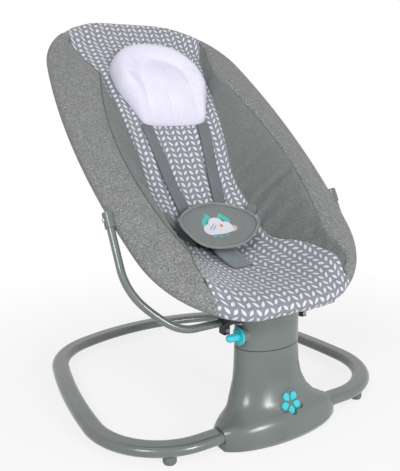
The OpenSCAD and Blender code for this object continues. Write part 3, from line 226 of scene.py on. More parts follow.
def grid(nu, nv, place, uv=None, ends=False):
    """Sheet of nu by nv cells, welded where it meets itself; ends closes what is left open.

    place(u, v) gives metres; uv(u, v) gives the pattern's millimetres."""
    bm = bmesh.new()
    bmesh.ops.create_grid(bm, x_segments=nu, y_segments=nv, size=0.5, calc_uvs=True)
    layer = bm.loops.layers.uv.active or bm.loops.layers.uv.new("UVMap")
    for f in bm.faces:
        for loop in f.loops:
            u, v = loop.vert.co.x + 0.5, loop.vert.co.y + 0.5
            loop[layer].uv = uv(u, v) if uv else (u, v)
    for vert in bm.verts:
        vert.co = place(clamp(vert.co.x + 0.5), clamp(vert.co.y + 0.5))
    bmesh.ops.remove_doubles(bm, verts=bm.verts, dist=0.00002)
    bmesh.ops.dissolve_degenerate(bm, edges=bm.edges, dist=0.00001)
    if ends:
        bmesh.ops.holes_fill(bm, edges=[e for e in bm.edges if e.is_boundary], sides=0)
    return bm


def subdivide(obj):
    mod = obj.modifiers.new("Subdivision", "SUBSURF")
    mod.levels = mod.render_levels = 1


def rounded(points, n):
    """n + 1 places on a smooth curve through the points."""
    out = []
    m = len(points) - 1
    for i in range(n + 1):
        t = i * m / n
        k = min(int(t), m - 1)
        f = t - k
        p0, p1 = points[max(k - 1, 0)], points[k]
        p2, p3 = points[k + 1], points[min(k + 2, m)]
        out.append(tuple(
            0.5 * (2 * b + (c - a) * f + (2 * a - 5 * b + 4 * c - d) * f * f
                   + (3 * b - a - 3 * c + d) * f ** 3)
            for a, b, c, d in zip(p0, p1, p2, p3)))
    return out


def spot(co):
    """Key of a place, to a tenth of a millimetre."""
    return tuple(round(c * 10000) for c in co)


PUFF_FRAMES, PUFF_SHRINK = 20, -0.01


def puff(obj, pressure, cap, held):
    """Blows a closed piece up as cloth.

    held[spot] is 1 where the fabric is sewn down, and cap limits the move in metres."""
    scene = bpy.context.scene
    start = [v.co.copy() for v in obj.data.vertices]
    group = obj.vertex_groups.new(name="sewn")
    for i, co in enumerate(start):
        group.add([i], clamp(held.get(spot(co), 1.0)), "REPLACE")
    mod = obj.modifiers.new("Cloth", "CLOTH")
    cloth = mod.settings
    cloth.quality = 6
    cloth.mass = 0.25
    cloth.tension_stiffness = cloth.compression_stiffness = 18
    cloth.shear_stiffness = 6
    cloth.bending_stiffness = 0.6
    cloth.air_damping = 2
    cloth.use_pressure = True
    cloth.uniform_pressure_force = pressure
    cloth.shrink_min = PUFF_SHRINK
    cloth.vertex_group_mass = "sewn"
    cloth.effector_weights.gravity = 0
    mod.collision_settings.use_collision = False
    mod.collision_settings.use_self_collision = False
    mod.point_cache.frame_start = 1
    mod.point_cache.frame_end = PUFF_FRAMES
    for f in range(1, PUFF_FRAMES + 1):
        scene.frame_set(f)
        bpy.context.view_layer.update()
    shown = obj.evaluated_get(bpy.context.evaluated_depsgraph_get())
    end = [v.co.copy() for v in shown.data.vertices]
    obj.modifiers.remove(mod)
    scene.frame_set(1)
    for v, a, b in zip(obj.data.vertices, start, end):
        d = b - a
        if d.length > cap:
            d *= cap / d.length
        v.co = a + d
    obj.vertex_groups.clear()
    obj.data.update()


# ---- materials ------------------------------------------------------------------------------


def colour(hexed):
    """sRGB hex to a linear colour."""
    out = []
    for i in (1, 3, 5):
        c = int(hexed[i:i + 2], 16) / 255
        out.append(c / 12.92 if c <= 0.04045 else ((c + 0.055) / 1.055) ** 2.4)
    return (*out, 1.0)


def add(tree, kind, settings=None, **inputs):
    """Adds a node, sets its properties and its inputs; an input given as a socket is linked."""
    node = tree.nodes.new(kind)
    for key, value in (settings or {}).items():
        setattr(node, key, value)
    for key, value in inputs.items():
        name = key.replace("_", " ")
        socket = node.inputs[int(key[1:])] if key[0] == "i" and key[1:].isdigit() else node.inputs[name]
        if isinstance(value, bpy.types.NodeSocket):
            tree.links.new(value, socket)
        else:
            socket.default_value = value
    return node


def math_node(tree, operation, a, b=0.0):
    return add(tree, "ShaderNodeMath", {"operation": operation}, i0=a, i1=b).outputs[0]


def new_material(name, rough, **fixed):
    mat = bpy.data.materials.new(name)
    mat.use_nodes = True
    tree = mat.node_tree
    shader = tree.nodes["Principled BSDF"]
    shader.inputs["Roughness"].default_value = rough
    for key, value in fixed.items():
        shader.inputs[key.replace("_", " ")].default_value = value
    return mat, tree, shader


def mixed(tree, factor, a, b):
    """Colour a where factor is 0 and b where it is 1."""
    node = add(tree, "ShaderNodeMix", {"data_type": "RGBA"}, i0=factor, i6=a, i7=b)
    return node.outputs[2]


def ramp(tree, factor, a, b):
    """Factor stretched so that a becomes 0 and b becomes 1."""
    node = add(tree, "ShaderNodeMapRange", {"clamp": True}, i0=factor, i1=a, i2=b)
    return node.outputs[0]


def object_space(tree):
    return add(tree, "ShaderNodeTexCoord").outputs["Object"]


def noisy(tree, vector, size_mm, detail=2.0, distortion=0.0):
    """Noise whose features are about size_mm across."""
    return add(tree, "ShaderNodeTexNoise", None, Vector=vector, Scale=1000.0 / size_mm, Detail=detail,
               Distortion=distortion).outputs[0]


def bumped(tree, shader, height, distance_mm, strength=0.6):
    node = add(tree, "ShaderNodeBump", None, Height=height, Distance=distance_mm / 1000, Strength=strength)
    tree.links.new(node.outputs[0], shader.inputs["Normal"])


def paint_powder_coat():
    """Powder-coated steel tube: slightly clouded, with a faint orange peel under a smooth skin."""
    mat, tree, shader = new_material("Powder-coated steel", 0.26, Coat_Weight=0.5, Coat_Roughness=0.12)
    place = object_space(tree)
    cloud = noisy(tree, place, 60, 3)
    skin = mixed(tree, ramp(tree, cloud, 0.3, 0.7), colour("#646c69"), colour("#6e7673"))
    tree.links.new(skin, shader.inputs["Base Color"])
    bumped(tree, shader, noisy(tree, place, 2.4, 2), 0.05, 0.35)
    return mat


def plastic_abs():
    """Moulded ABS cover: half gloss, with a very fine spark-eroded grain."""
    mat, tree, shader = new_material("Moulded ABS", 0.24, IOR=1.5)
    place = object_space(tree)
    cloud = noisy(tree, place, 90, 3)
    skin = mixed(tree, ramp(tree, cloud, 0.3, 0.7), colour("#69716e"), colour("#737b78"))
    tree.links.new(skin, shader.inputs["Base Color"])
    bumped(tree, shader, noisy(tree, place, 1.1, 2), 0.04, 0.3)
    return mat


def plastic_gloss(name, low, high, rough=0.24):
    """Glossy moulded button plastic: near-even colour with slight flow."""
    mat, tree, shader = new_material(name, rough, IOR=1.5, Coat_Weight=0.4, Coat_Roughness=0.12)
    place = object_space(tree)
    skin = mixed(tree, noisy(tree, place, 14, 2), colour(low), colour(high))
    tree.links.new(skin, shader.inputs["Base Color"])
    bumped(tree, shader, noisy(tree, place, 5, 1), 0.05, 0.2)
    return mat


def plastic_matt(name, low, high, rough=0.55, grain=0.9):
    """Moulded nylon or polypropylene: matt with a moulded grain."""
    mat, tree, shader = new_material(name, rough, IOR=1.5)
    place = object_space(tree)
    skin = mixed(tree, noisy(tree, place, 9, 3), colour(low), colour(high))
    tree.links.new(skin, shader.inputs["Base Color"])
    bumped(tree, shader, noisy(tree, place, grain, 2), 0.08, 0.5)
    return mat


def metal(name, low, high, grain=0.8):
    """Plated or sintered metal: a fine even grain in its colour, its gloss and its surface."""
    mat, tree, shader = new_material(name, 0.4, Metallic=1.0)
    fine = noisy(tree, object_space(tree), grain, 2)
    tree.links.new(mixed(tree, fine, colour(low), colour(high)), shader.inputs["Base Color"])
    # Roughness runs from about 0.3 to 0.5 with the grain
    tree.links.new(ramp(tree, fine, -1.2, 3.2), shader.inputs["Roughness"])
    bumped(tree, shader, fine, 0.02, 0.3)
    return mat


def rubber():
    """Moulded rubber: matt, with dust in its grain."""
    mat, tree, shader = new_material("Moulded rubber", 0.75)
    place = object_space(tree)
    skin = mixed(tree, noisy(tree, place, 5, 4), colour("#1c1d1e"), colour("#2b2c2d"))
    tree.links.new(skin, shader.inputs["Base Color"])
    bumped(tree, shader, noisy(tree, place, 1.2, 2), 0.1, 0.5)
    return mat


def flecks(tree, place, size, dark, middle, light):
    """Heather yarn: pale and dark fibres over a middle grey, drawn coarser than the 1 mm knit to show.

    Returns its colour and the noise of its dark fibres."""
    across = add(tree, "ShaderNodeMapping", None, Vector=place, Scale=(1.0, 0.75, 0.75)).outputs[0]
    fine = noisy(tree, across, size, 2.5, 0.6)
    other = noisy(tree, across, size * 0.8, 2.0, 0.3)
    coarse = noisy(tree, across, size * 7, 2, 0.2)
    base = mixed(tree, ramp(tree, coarse, 0.36, 0.64), middle, mixed(tree, 0.25, middle, dark))
    base = mixed(tree, ramp(tree, fine, 0.52, 0.38), base, dark)
    return mixed(tree, ramp(tree, other, 0.53, 0.66), base, light), fine


def fabric_heather():
    """Heather knit on the side wings, with a stitched seam along the crest and a smoother panel inside it,
    whose yarn is painted darker as shade on the inner wall.
    """
    mat, tree, shader = new_material("Heather knit polyester", 0.92, Sheen_Weight=0.12, Sheen_Roughness=0.5)
    place = object_space(tree)
    uv = add(tree, "ShaderNodeUVMap").outputs[0]
    split = add(tree, "ShaderNodeSeparateXYZ", None, Vector=uv)
    along, across = split.outputs[0], split.outputs[1]
    band, fine = flecks(tree, place, 2.1, colour("#636565"), colour("#818382"), colour("#a9aaa9"))
    # Inner wall: a smoother yarn with fewer pale flecks, its colours painted darker as shade on the wall that
    # faces in; past the seam it takes over from the band
    wall, _ = flecks(tree, place, 1.9, colour("#666868"), colour("#777979"), colour("#8b8d8d"))
    inner = ramp(tree, across, 0.3, -0.3)
    skin = mixed(tree, inner, band, wall)
    # Seam: a sunk line with a shadow, and a row of stitches beside it
    off = math_node(tree, "ABSOLUTE", across)
    line = ramp(tree, off, 1.3, 0.5)
    dash = math_node(tree, "FRACT", math_node(tree, "DIVIDE", along, 3.6))
    beside = math_node(tree, "ABSOLUTE", math_node(tree, "SUBTRACT", across, -2.6))
    thread = math_node(tree, "MULTIPLY", ramp(tree, dash, 0.60, 0.66), ramp(tree, beside, 0.5, 0.2))
    skin = mixed(tree, math_node(tree, "MULTIPLY", line, 0.8), skin, colour("#353837"))
    skin = mixed(tree, math_node(tree, "MULTIPLY", thread, 0.5), skin, colour("#555857"))
    tree.links.new(skin, shader.inputs["Base Color"])
    rib = noisy(tree, place, 1.3, 2)
    height = math_node(tree, "SUBTRACT", math_node(tree, "ADD", rib, math_node(tree, "MULTIPLY", fine, 0.5)),
                       math_node(tree, "MULTIPLY", line, 2.0))
    bumped(tree, shader, height, 0.4, 0.6)
    return mat


def fabric_plain(name, low, high, weave_mm=1.1, rough=0.9, depth=0.25):
    """Plain woven or knitted polyester: threads crossing at weave_mm."""
    mat, tree, shader = new_material(name, rough, Sheen_Weight=0.2, Sheen_Roughness=0.5)
    place = object_space(tree)
    cloud = noisy(tree, place, 35, 3)
    thread = noisy(tree, place, weave_mm * 1.5, 2, 0.4)
    base = mixed(tree, ramp(tree, cloud, 0.3, 0.7), colour(low), colour(high))
    between = mixed(tree, 0.35, base, colour("#303234"))
    skin = mixed(tree, ramp(tree, thread, 0.62, 0.4), base, between)
    tree.links.new(skin, shader.inputs["Base Color"])
    bumped(tree, shader, thread, depth, 0.6)
    return mat


LEAF_L, LEAF_W, LEAF_TURN = 13.2, 5.9, math.radians(49)
LEAF_STEP, LEAF_ROW = 13.7, 13.0


def fabric_leaves():
    """Printed cotton: rows of pale leaves leaning left and right by turns, on lavender grey."""
    mat, tree, shader = new_material("Printed cotton", 0.88, Sheen_Weight=0.2, Sheen_Roughness=0.5)
    uv = add(tree, "ShaderNodeUVMap").outputs[0]
    wobble = add(tree, "ShaderNodeTexNoise", {"noise_dimensions": "2D"}, Vector=uv, Scale=0.11, Detail=1.0)
    moved = add(tree, "ShaderNodeVectorMath", {"operation": "MULTIPLY_ADD"}, i0=wobble.outputs[1],
                i1=(2.2, 2.2, 0), i2=uv)
    split = add(tree, "ShaderNodeSeparateXYZ", None, Vector=moved.outputs[0])

    def calc(operation, a, b=0.0):
        return math_node(tree, operation, a, b)

    column = calc("DIVIDE", split.outputs[0], LEAF_STEP)
    row = calc("DIVIDE", split.outputs[1], LEAF_ROW)
    x = calc("MULTIPLY", calc("SUBTRACT", calc("FRACT", column), 0.5), LEAF_STEP)
    y = calc("MULTIPLY", calc("SUBTRACT", calc("FRACT", row), 0.5), LEAF_ROW)
    # Every other column leans the other way
    odd = calc("MODULO", calc("ABSOLUTE", calc("FLOOR", column)), 2.0)
    y = calc("MULTIPLY", y, calc("SUBTRACT", calc("MULTIPLY", odd, 2.0), 1.0))
    c, s = math.cos(LEAF_TURN), math.sin(LEAF_TURN)
    length = calc("ADD", calc("MULTIPLY", x, c), calc("MULTIPLY", y, s))
    width = calc("SUBTRACT", calc("MULTIPLY", y, c), calc("MULTIPLY", x, s))
    # A leaf narrows towards both tips
    along = calc("ABSOLUTE", calc("DIVIDE", length, LEAF_L / 2))
    taper = calc("SUBTRACT", 1.0, calc("POWER", along, 2.0))
    gap = calc("SUBTRACT", calc("MULTIPLY", taper, LEAF_W / 2), calc("ABSOLUTE", width))
    leaf = ramp(tree, gap, -0.2, 0.5)
    place = object_space(tree)
    grain = noisy(tree, place, 1.7, 2, 0.3)
    cloud = noisy(tree, place, 45, 3)
    ground = mixed(tree, ramp(tree, cloud, 0.3, 0.7), colour("#8a8c95"), colour("#9596a2"))
    ground = mixed(tree, ramp(tree, grain, 0.6, 0.4), ground, colour("#7b7d86"))
    pale = mixed(tree, grain, colour("#d3d3da"), colour("#e2e2e8"))
    tree.links.new(mixed(tree, leaf, ground, pale), shader.inputs["Base Color"])
    bumped(tree, shader, grain, 0.25, 0.5)
    return mat


def fabric_pillow():
    """Brushed fine knit: pale and smooth, with a faint lavender cast."""
    mat, tree, shader = new_material("Brushed knit", 0.8, Sheen_Weight=0.25, Sheen_Roughness=0.4)
    place = object_space(tree)
    nap = noisy(tree, place, 1.6, 2, 0.4)
    cloud = noisy(tree, place, 50, 2)
    base = mixed(tree, ramp(tree, cloud, 0.35, 0.65), colour("#e5e3f5"), colour("#ecebf9"))
    skin = mixed(tree, ramp(tree, nap, 0.62, 0.35), base, colour("#dcdaec"))
    tree.links.new(skin, shader.inputs["Base Color"])
    bumped(tree, shader, nap, 0.12, 0.3)
    return mat


def blob(tree, uv, x, y, a, b, turn=0.0):
    """1 inside an ellipse of half sizes a and b at (x, y), in the pattern's millimetres."""
    moved = add(tree, "ShaderNodeVectorMath", {"operation": "SUBTRACT"}, i0=uv, i1=(x, y, 0)).outputs[0]
    turned = add(tree, "ShaderNodeVectorRotate", {"rotation_type": "Z_AXIS"}, Vector=moved,
                 Angle=-turn).outputs[0]
    scaled = add(tree, "ShaderNodeVectorMath", {"operation": "DIVIDE"}, i0=turned, i1=(a, b, 1)).outputs[0]
    reach = add(tree, "ShaderNodeVectorMath", {"operation": "LENGTH"}, i0=scaled).outputs[1]
    return ramp(tree, reach, 1.04, 0.98)


def blobs(tree, uv, ellipses):
    """1 inside any of the ellipses."""
    masks = [blob(tree, uv, *ellipse) for ellipse in ellipses]
    out = masks[0]
    for mask in masks[1:]:
        out = math_node(tree, "MAXIMUM", out, mask)
    return out


# The cover's print, painted in this order: colour and its ellipses (x, y, half length, half width, turn)
PRINT = (
    ("#b9b3a8", ((34, -9, 7, 6), (30, -13, 8, 4))),
    ("#45b9b0", ((-26, 14, 12, 4.6, 0.9), (-14, 21, 11, 4.4, 2.2), (24, 15, 12, 4.6, 2.3),
                 (12, 21, 10, 4, 0.8))),
    ("#d3d5de", ((-19, -6, 16, 13), (-2, 3, 18, 17), (17, -4, 15, 13), (0, -11, 33, 8))),
    ("#dd8440", ((9, 1, 3.4, 3.4),)),
    ("#8f95a0", ((-12, 2, 9, 1.1, 0.75), (-8, -2, 9, 1.1, 0.75), (-16, -2, 7, 1.1, 0.75))),
    ("#4fb0aa", ((-17, -23, 4.2, 2.2, 0.2), (-3, -24, 4.2, 2.2, -0.2), (12, -23, 4.2, 2.2, 0.2))),
)


def fabric_cover():
    """Padded cover: smooth grey jersey with a plain cloud, sprig and dot design printed on it."""
    mat, tree, shader = new_material("Printed jersey", 0.85, Sheen_Weight=0.2, Sheen_Roughness=0.5)
    uv = add(tree, "ShaderNodeUVMap").outputs[0]
    thread = noisy(tree, object_space(tree), 1.6, 2, 0.4)
    skin = mixed(tree, ramp(tree, thread, 0.62, 0.38), colour("#7f8282"), colour("#6e7272"))
    for tint, ellipses in PRINT:
        skin = mixed(tree, blobs(tree, uv, ellipses), skin, colour(tint))
    tree.links.new(skin, shader.inputs["Base Color"])
    bumped(tree, shader, thread, 0.2, 0.5)
    return mat


MATERIALS = {}


def material(key):
    if key not in MATERIALS:
        MATERIALS[key] = MAKERS[key]()
    return MATERIALS[key]


MAKERS = {
    "shell": plastic_abs,
    "tube": paint_powder_coat,
    "accent": lambda: plastic_gloss("Teal gloss ABS", "#2fc0cf", "#3fd0dc"),
    "black_plastic": lambda: plastic_matt("Black nylon", "#191a1b", "#232425"),
    "release": lambda: plastic_gloss("Grey gloss ABS", "#4a4d4f", "#55585a", 0.4),
    "rubber": rubber,
    "foot": lambda: plastic_matt("Grey rubber", "#656c69", "#6f7673", 0.6),
    "steel": lambda: metal("Zinc-plated steel", "#a2a5a8", "#c4c7ca"),
    "bronze": lambda: metal("Sintered bronze", "#9a7a4c", "#b8955f", 1.4),
    "nylon": lambda: plastic_matt("Natural nylon", "#dcd8c8", "#e6e2d4", 0.45, 1.4),
    "board": lambda: plastic_matt("Glass-fibre board", "#17502c", "#1f6237", 0.4, 1.2),
    "heather_fabric": fabric_heather,
    "sling_fabric": lambda: fabric_plain("Woven polyester", "#6f7573", "#7a807e"),
    "print_fabric": fabric_leaves,
    "pillow_fabric": fabric_pillow,
    "webbing": lambda: fabric_plain("Plain strap fabric", "#6f7376", "#777b7f", 0.8, 0.7, 0.1),
    "cover_fabric": fabric_cover,
    "piping": lambda: fabric_plain("Piping cord fabric", "#8a8d8d", "#969999", 0.9, 0.8, 0.15),
    "crotch": lambda: fabric_plain("Brushed webbing cover", "#7d858e", "#8a929b", 1.2, 0.8, 0.2),
}


# ---- pieces ---------------------------------------------------------------------------------


def make_finishes():
    """Gives every carried-over node its material."""
    slots = {p["node"]: p["material_slot"] for p in frame["record"]["subparts"]}
    slots["ring_feet"] = "foot"
    for name, obj in NODES.items():
        mat = material(slots[name])
        obj.data.materials.clear()
        obj.data.materials.append(mat)
    for name, body, angle in (("pedestal_cover", "base", 32), ("head_cap", "head", 40)):
        bm = bmesh.new()
        bm.from_mesh(NODES[name].data)
        bmesh.ops.remove_doubles(bm, verts=bm.verts, dist=0.00001)
        bmesh.ops.dissolve_limit(bm, angle_limit=math.radians(0.3), verts=bm.verts, edges=bm.edges)
        for e in bm.edges:
            e.smooth = len(e.link_faces) == 2 and e.calc_face_angle(0) < math.radians(angle)
        obj = finish_mesh(f"{name}_smooth", bm, body, material(slots[name]))
        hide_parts(name)


def sling_place(q, k):
    """Sling: k from 0, on top of the hoop, round its outside, then in across the seat to the middle at 1."""
    x, s, ox, os = hoop(q)
    wrap = 0.2
    if k < wrap:
        a = mix(math.radians(105), math.radians(-90), k / wrap)
        r = SLEEVE_R
        return x + ox * r * math.cos(a), s + os * r * math.cos(a), r * math.sin(a)
    t = (k - wrap) / (1 - wrap)
    cs = clamp(s, 230, 560)
    px, ps = mix(x, 0, t), mix(s, cs, t)
    far = math.hypot(px - x, ps - s)
    low = sling(px, ps) - 0.6
    return px, ps, mix(-SLEEVE_R, min(low, -SLEEVE_R + far * 0.8), ease(far, 0, 46))


def make_sling(props):
    def place(u, v):
        x, s, n = sling_place(u * LOOP, v)
        return seat(x, s, n)

    bm = grid(176, 44, place, lambda u, v: (u * LOOP, v * 300))
    obj = finish_mesh("sling_cloth", bm, "seat", material("sling_fabric"))
    solid = obj.modifiers.new("Cloth thickness", "SOLIDIFY")
    solid.thickness = 0.0014
    solid.offset = 0
    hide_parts("seat_sling")


def ray_to(q, reached):
    """Distance in from the hoop, square to it, at which reached(x, s) turns true."""
    x, s, ox, os = hoop(q)
    lo, hi = 0.0, 170.0
    for _ in range(26):
        m = (lo + hi) / 2
        if reached(x - ox * m, s - os * m):
            hi = m
        else:
            lo = m
    return (lo + hi) / 2


WING_Q0 = BAR + CORNER_R * math.radians(27)
WING_Q1 = 2 * QUARTER - BAR - CORNER_R * math.radians(41)


def wing_section(q):
    """Closed outline of a wing in five runs of (inwards, height) places, starting under its inner edge."""
    x, s, ox, os = hoop(q)
    edge = max(5.0, ray_to(q, lambda a, b: abs(a) <= edge_x(b) - 5))
    crest = min(edge - 3, ray_to(q, lambda a, b: abs(a) <= crest_x(b)))
    crest = max(crest, edge * 0.35)
    es, cs = s - os * edge, s - os * crest
    n0 = face(edge_x(es) - 5, es) - 8
    # The wing flattens towards its tips
    end = min(1.0, ease(edge, 4, 60) + 0.15)
    nc = mix(12.0, crest_h(cs), end)

    def under(w):
        far = sling(x - ox * w, s - os * w) + 0.5
        return mix(-SLEEVE_R + 1, far, ease(w, 6, 50))

    def arc(r, a0, a1, n):
        turns = (math.radians(mix(a0, a1, i / n)) for i in range(n + 1))
        return [(-r * math.cos(a), r * math.sin(a)) for a in turns]

    bottom = [(w, under(w)) for w in (mix(edge, min(edge, 9.0), i / 8) for i in range(9))]
    inner = arc(SLEEVE_R + 0.4, 208 if edge > 12 else 150, -24, 10)
    outer = arc(BAND_R, -24, 72, 7)
    band = rounded([
        (mix(0, crest, 0.05), BAND_R + 0.4),
        (mix(0, crest, 0.30), mix(BAND_R + 4, nc + 4, 0.5) * end + BAND_R * (1 - end)),
        (mix(0, crest, 0.65), nc + 6.5 * end),
        (mix(0, crest, 0.90), nc + 3.5 * end),
        (crest, nc - 1.0),
    ], 12)
    wall = rounded([
        (crest, nc - 1.0),
        (mix(crest, edge, 0.10), nc + 0.5 * end),
        (mix(crest, edge, 0.35), mix(nc, n0, 0.27)),
        (mix(crest, edge, 0.70), mix(nc, n0, 0.66)),
        (edge + 0.5, max(n0, under(edge) + 4)),
    ], 14)
    return bottom, inner, outer, band, wall


def make_wing(side):
    nu = 112
    sections = []
    for i in range(nu + 1):
        q = mix(WING_Q0, WING_Q1, i / nu)
        bottom, inner, outer, band, wall = wing_section(q)
        ring = bottom + inner + outer + band[1:] + wall[1:] + [bottom[0]]
        seam = len(bottom) + len(inner) + len(outer) + len(band) - 2
        run, lengths = 0.0, [0.0]
        for a, b in zip(ring, ring[1:]):
            run += math.dist(a, b)
            lengths.append(run)
        sections.append((q, ring, [lengths[seam] - t for t in lengths]))
    nv = len(sections[0][1]) - 1
    first = len(bottom) + len(inner) + len(outer) - 1
    crest = first + len(band) - 1
    on_band, on_wall = first + 1, crest + 2
    sewn = {}

    def sewn_at(u, j):
        """1 on the underside, at the crest seam and at the tips, 0 in the middle of the band and the wall."""
        if j <= first:
            return 1.0
        t = (j - first) / (crest - first) if j <= crest else (j - crest) / (nv - 1 - crest)
        return 1 - clamp(1.5 * math.sin(math.pi * clamp(t))) * ease(min(u, 1 - u), 0.02, 0.10)

    def place(u, v):
        q, ring, _ = sections[round(u * nu)]
        w, n = ring[round(v * nv)]
        x, s, ox, os = hoop(q)
        px, ps = x - ox * w, s - os * w
        # Creases that run out of the crevice beside the buckle
        j = round(v * nv)
        if j > on_wall and w > 20:
            depth = bump(ps - 262, 78) * ease(w, 60, 110) * (1 if side > 0 else 0.7)
            stray = 2.2 * noise.noise(Vector((ps * 0.02, w * 0.02, side)))
            n += 4.6 * depth * math.sin(ps * 0.155 + w * 0.05 + stray)
        if j > on_band:
            n += 1.1 * noise.noise(Vector((ps * 0.018, px * 0.02, side * 3.0)))
        out = seat(side * px, ps, n)
        sewn[spot(out)] = sewn_at(u, j)
        return out

    def uv(u, v):
        q, _, lengths = sections[round(u * nu)]
        return (q, lengths[round(v * nv)])

    name = "wing_pad_right" if side > 0 else "wing_pad_left"
    bm = grid(nu, nv, place, uv, ends=True)
    obj = finish_mesh(name, bm, "seat", material("heather_fabric"))
    puff(obj, 4.0, 0.006, sewn)
    return obj


def make_wings(props):
    for side, node in ((1, "side_wing_right"), (-1, "side_wing_left")):
        obj = make_wing(side)
        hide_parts(node)
        subdivide(obj)


# Radii of the insert's hems round the hoop, and the half width at which its length is first read
LIP_R = 14.0
HEAD_R = 12.9
PAD_HALF = 150.0


def insert_top(x, t):
    """Face of the insert: x across, t from 0 to 1 from the foot hem over the seat to the head hem."""
    foot, head = 0.10, 0.93
    f0 = LIP_S + hoop_end(x)
    f1 = HEAD_S - hoop_end(x)
    if t < foot:
        a = mix(math.radians(215), math.radians(96), t / foot)
        # The hem stands a little off the hoop at its middle
        r = LIP_R + 1.2
        return f0 + r * math.cos(a), r * math.sin(a), (t - foot) / foot * 30
    if t > head:
        a = mix(math.radians(88), math.radians(-35), (t - head) / (1 - head))
        return f1 + HEAD_R * math.cos(a), HEAD_R * math.sin(a), (f1 - f0) + (t - head) / (1 - head) * 28
    k = (t - foot) / (head - foot)
    s = mix(f0 - 1, f1, k)
    shift = (f0 - LIP_S) * (1 - ease(s - f0, 0, 90))
    n = mix(face(x, s - shift), HEAD_R, ease(s, f1 - 60, f1))
    return s, n, s - f0


def make_insert(props):
    nu, nv = 40, 132

    def shape(u, v):
        """u from 0 to 1 round the pad: top left to right, then back underneath."""
        top = u <= 0.5
        k = u * 4 - 1 if top else 3 - u * 4
        # Round the edges: spacing tightens towards them
        k = math.copysign(1 - (1 - abs(k)) ** 1.35, k)
        s, _, _ = insert_top(PAD_HALF * k, v)
        w = edge_x(clamp(s, LIP_S, HEAD_S)) - 6 * (1 - ease(v, 0.0, 0.12))
        x = w * k
        s, n, run = insert_top(x, v)
        thick = pad_t(clamp(s, 0, 780))
        edge = math.sqrt(max(0.0, 1 - abs(k) ** 7))
        # Waves die out at the edges, where the two faces meet
        loose = top * (1 - abs(k) ** 6)
        on_hoop = max(1 - ease(v, 0.08, 0.16), ease(v, 0.86, 0.93))
        t = mix(thick, 3.2, on_hoop)
        middle = t / 2
        puffed = 1.2 * (1 - on_hoop) * math.sin(math.pi * clamp(1 - abs(k))) if top else 0
        rise = middle * edge * (1 if top else -1) + puffed
        # Normal of the face along the seat
        s2, n2, _ = insert_top(x, min(1, v + 0.004))
        s1, n1, _ = insert_top(x, max(0, v - 0.004))
        ds, dn = s2 - s1, n2 - n1
        length = math.hypot(ds, dn) or 1
        ns, nn = -dn / length, ds / length
        off = rise - middle
        # Creases round the crotch strap, and gentle waves over the pan and back
        crease = bump(s - 128, 42) * bump(x - 42, 46) * (1 - on_hoop)
        stray = 1.6 * noise.noise(Vector((x * 0.03, s * 0.03, 0)))
        off += loose * 2.6 * crease * math.sin(0.20 * s + 0.16 * x + stray)
        off += loose * 1.8 * (1 - on_hoop) * noise.noise(Vector((x * 0.022, s * 0.016, 4.0)))
        off += loose * 1.4 * on_hoop * noise.noise(Vector((x * 0.045, v * 6, 9.0)))
        sb, nb = s + ns * off, n + nn * off
        if 0.12 < v < 0.9 and not top:
            nb = max(nb, sling(x, sb) + 0.5)
        # The print runs on down the pad's side
        side = math.copysign(0.9 * middle * abs(k) ** 12, k) * (1 if top else -1)
        return x, sb, nb, (x + side + 1370.0, run + 130.0)

    def place(u, v):
        x, s, n, _ = shape(u, v)
        return seat(x, s, n)

    def uv(u, v):
        return shape(min(u, 0.4999) if u <= 0.5 else u, v)[3]

    bm = grid(nu * 2, nv, place, uv, ends=True)
    obj = finish_mesh("insert_pad", bm, "seat", material("print_fabric"))
    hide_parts("seat_insert")
    subdivide(obj)


PILLOW_S0, PILLOW_L, PILLOW_HALF, PILLOW_RIM = 482.0, 215.0, 110.0, 38.0


def pillow_outline(a):
    """Edge of the pillow at turn a from its middle: a straight lower hem and a round top."""
    c, s = math.cos(a), math.sin(a)
    if s >= 0:
        r = (abs(c) ** 2.3 + abs(s) ** 2.3) ** (-1 / 2.3)
    else:
        r = (abs(c) ** 11 + abs(s) ** 11) ** (-1 / 11)
    x, y = r * c * PILLOW_HALF, r * s * PILLOW_L / 2
    # Narrows to the lower hem
    return x * (1 - 0.26 * ease(-y, 5, PILLOW_L / 2)), y


def make_pillow(props):
    nu, nv = 128, 56
    sewn = {}

    def place(u, v):
        a = u * math.tau
        top = v <= 0.5
        rho = v * 2 if top else 2 - v * 2
        # Spacing tightens towards the edge
        rho = 1 - (1 - rho) ** 1.4
        ox, oy = pillow_outline(a)
        x, y = ox * rho, oy * rho
        s = PILLOW_S0 + PILLOW_L / 2 + y
        low = face(x, s) + 1.0
        if not top:
            return seat(x, s, low)
        # Distance in from the hem, and out from the border of the sunk middle
        rim = (1 - rho) * math.hypot(ox, oy)
        middle = 57 - (abs(x) if y < -12 else math.hypot(x, (y + 12) * 1.02))
        fold = 1.5 * noise.noise(Vector((x * 0.025, y * 0.025, 7.0))) * ease(rim, 0, 12)
        roll = 38 - 12 * ease(-y, 30, 108)
        outside = math.sqrt(max(0.0, 1 - (1 - clamp(rim / PILLOW_RIM)) ** 2.2))
        inside = ease(-middle, -4, 26)
        floor = roll * (0.76 + 0.06 * ease(middle, 0, 45))
        height = floor if middle > 0 else mix(floor * 0.98, roll, inside)
        # The stitched border of the middle pulls down a little
        height -= 1.0 * bump(middle, 5.0)
        out = seat(x, s, low + height * outside + fold + (1.5 if rho > 0.999 else 0))
        sewn[spot(out)] = max(bump(middle, 5.0), bump(rim, 8.0))
        return out

    bm = grid(nu, nv, place)
    obj = finish_mesh("pillow_pad", bm, "seat", material("pillow_fabric"))
    puff(obj, 4.0, 0.005, sewn)
    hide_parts("head_pillow")
    subdivide(obj)


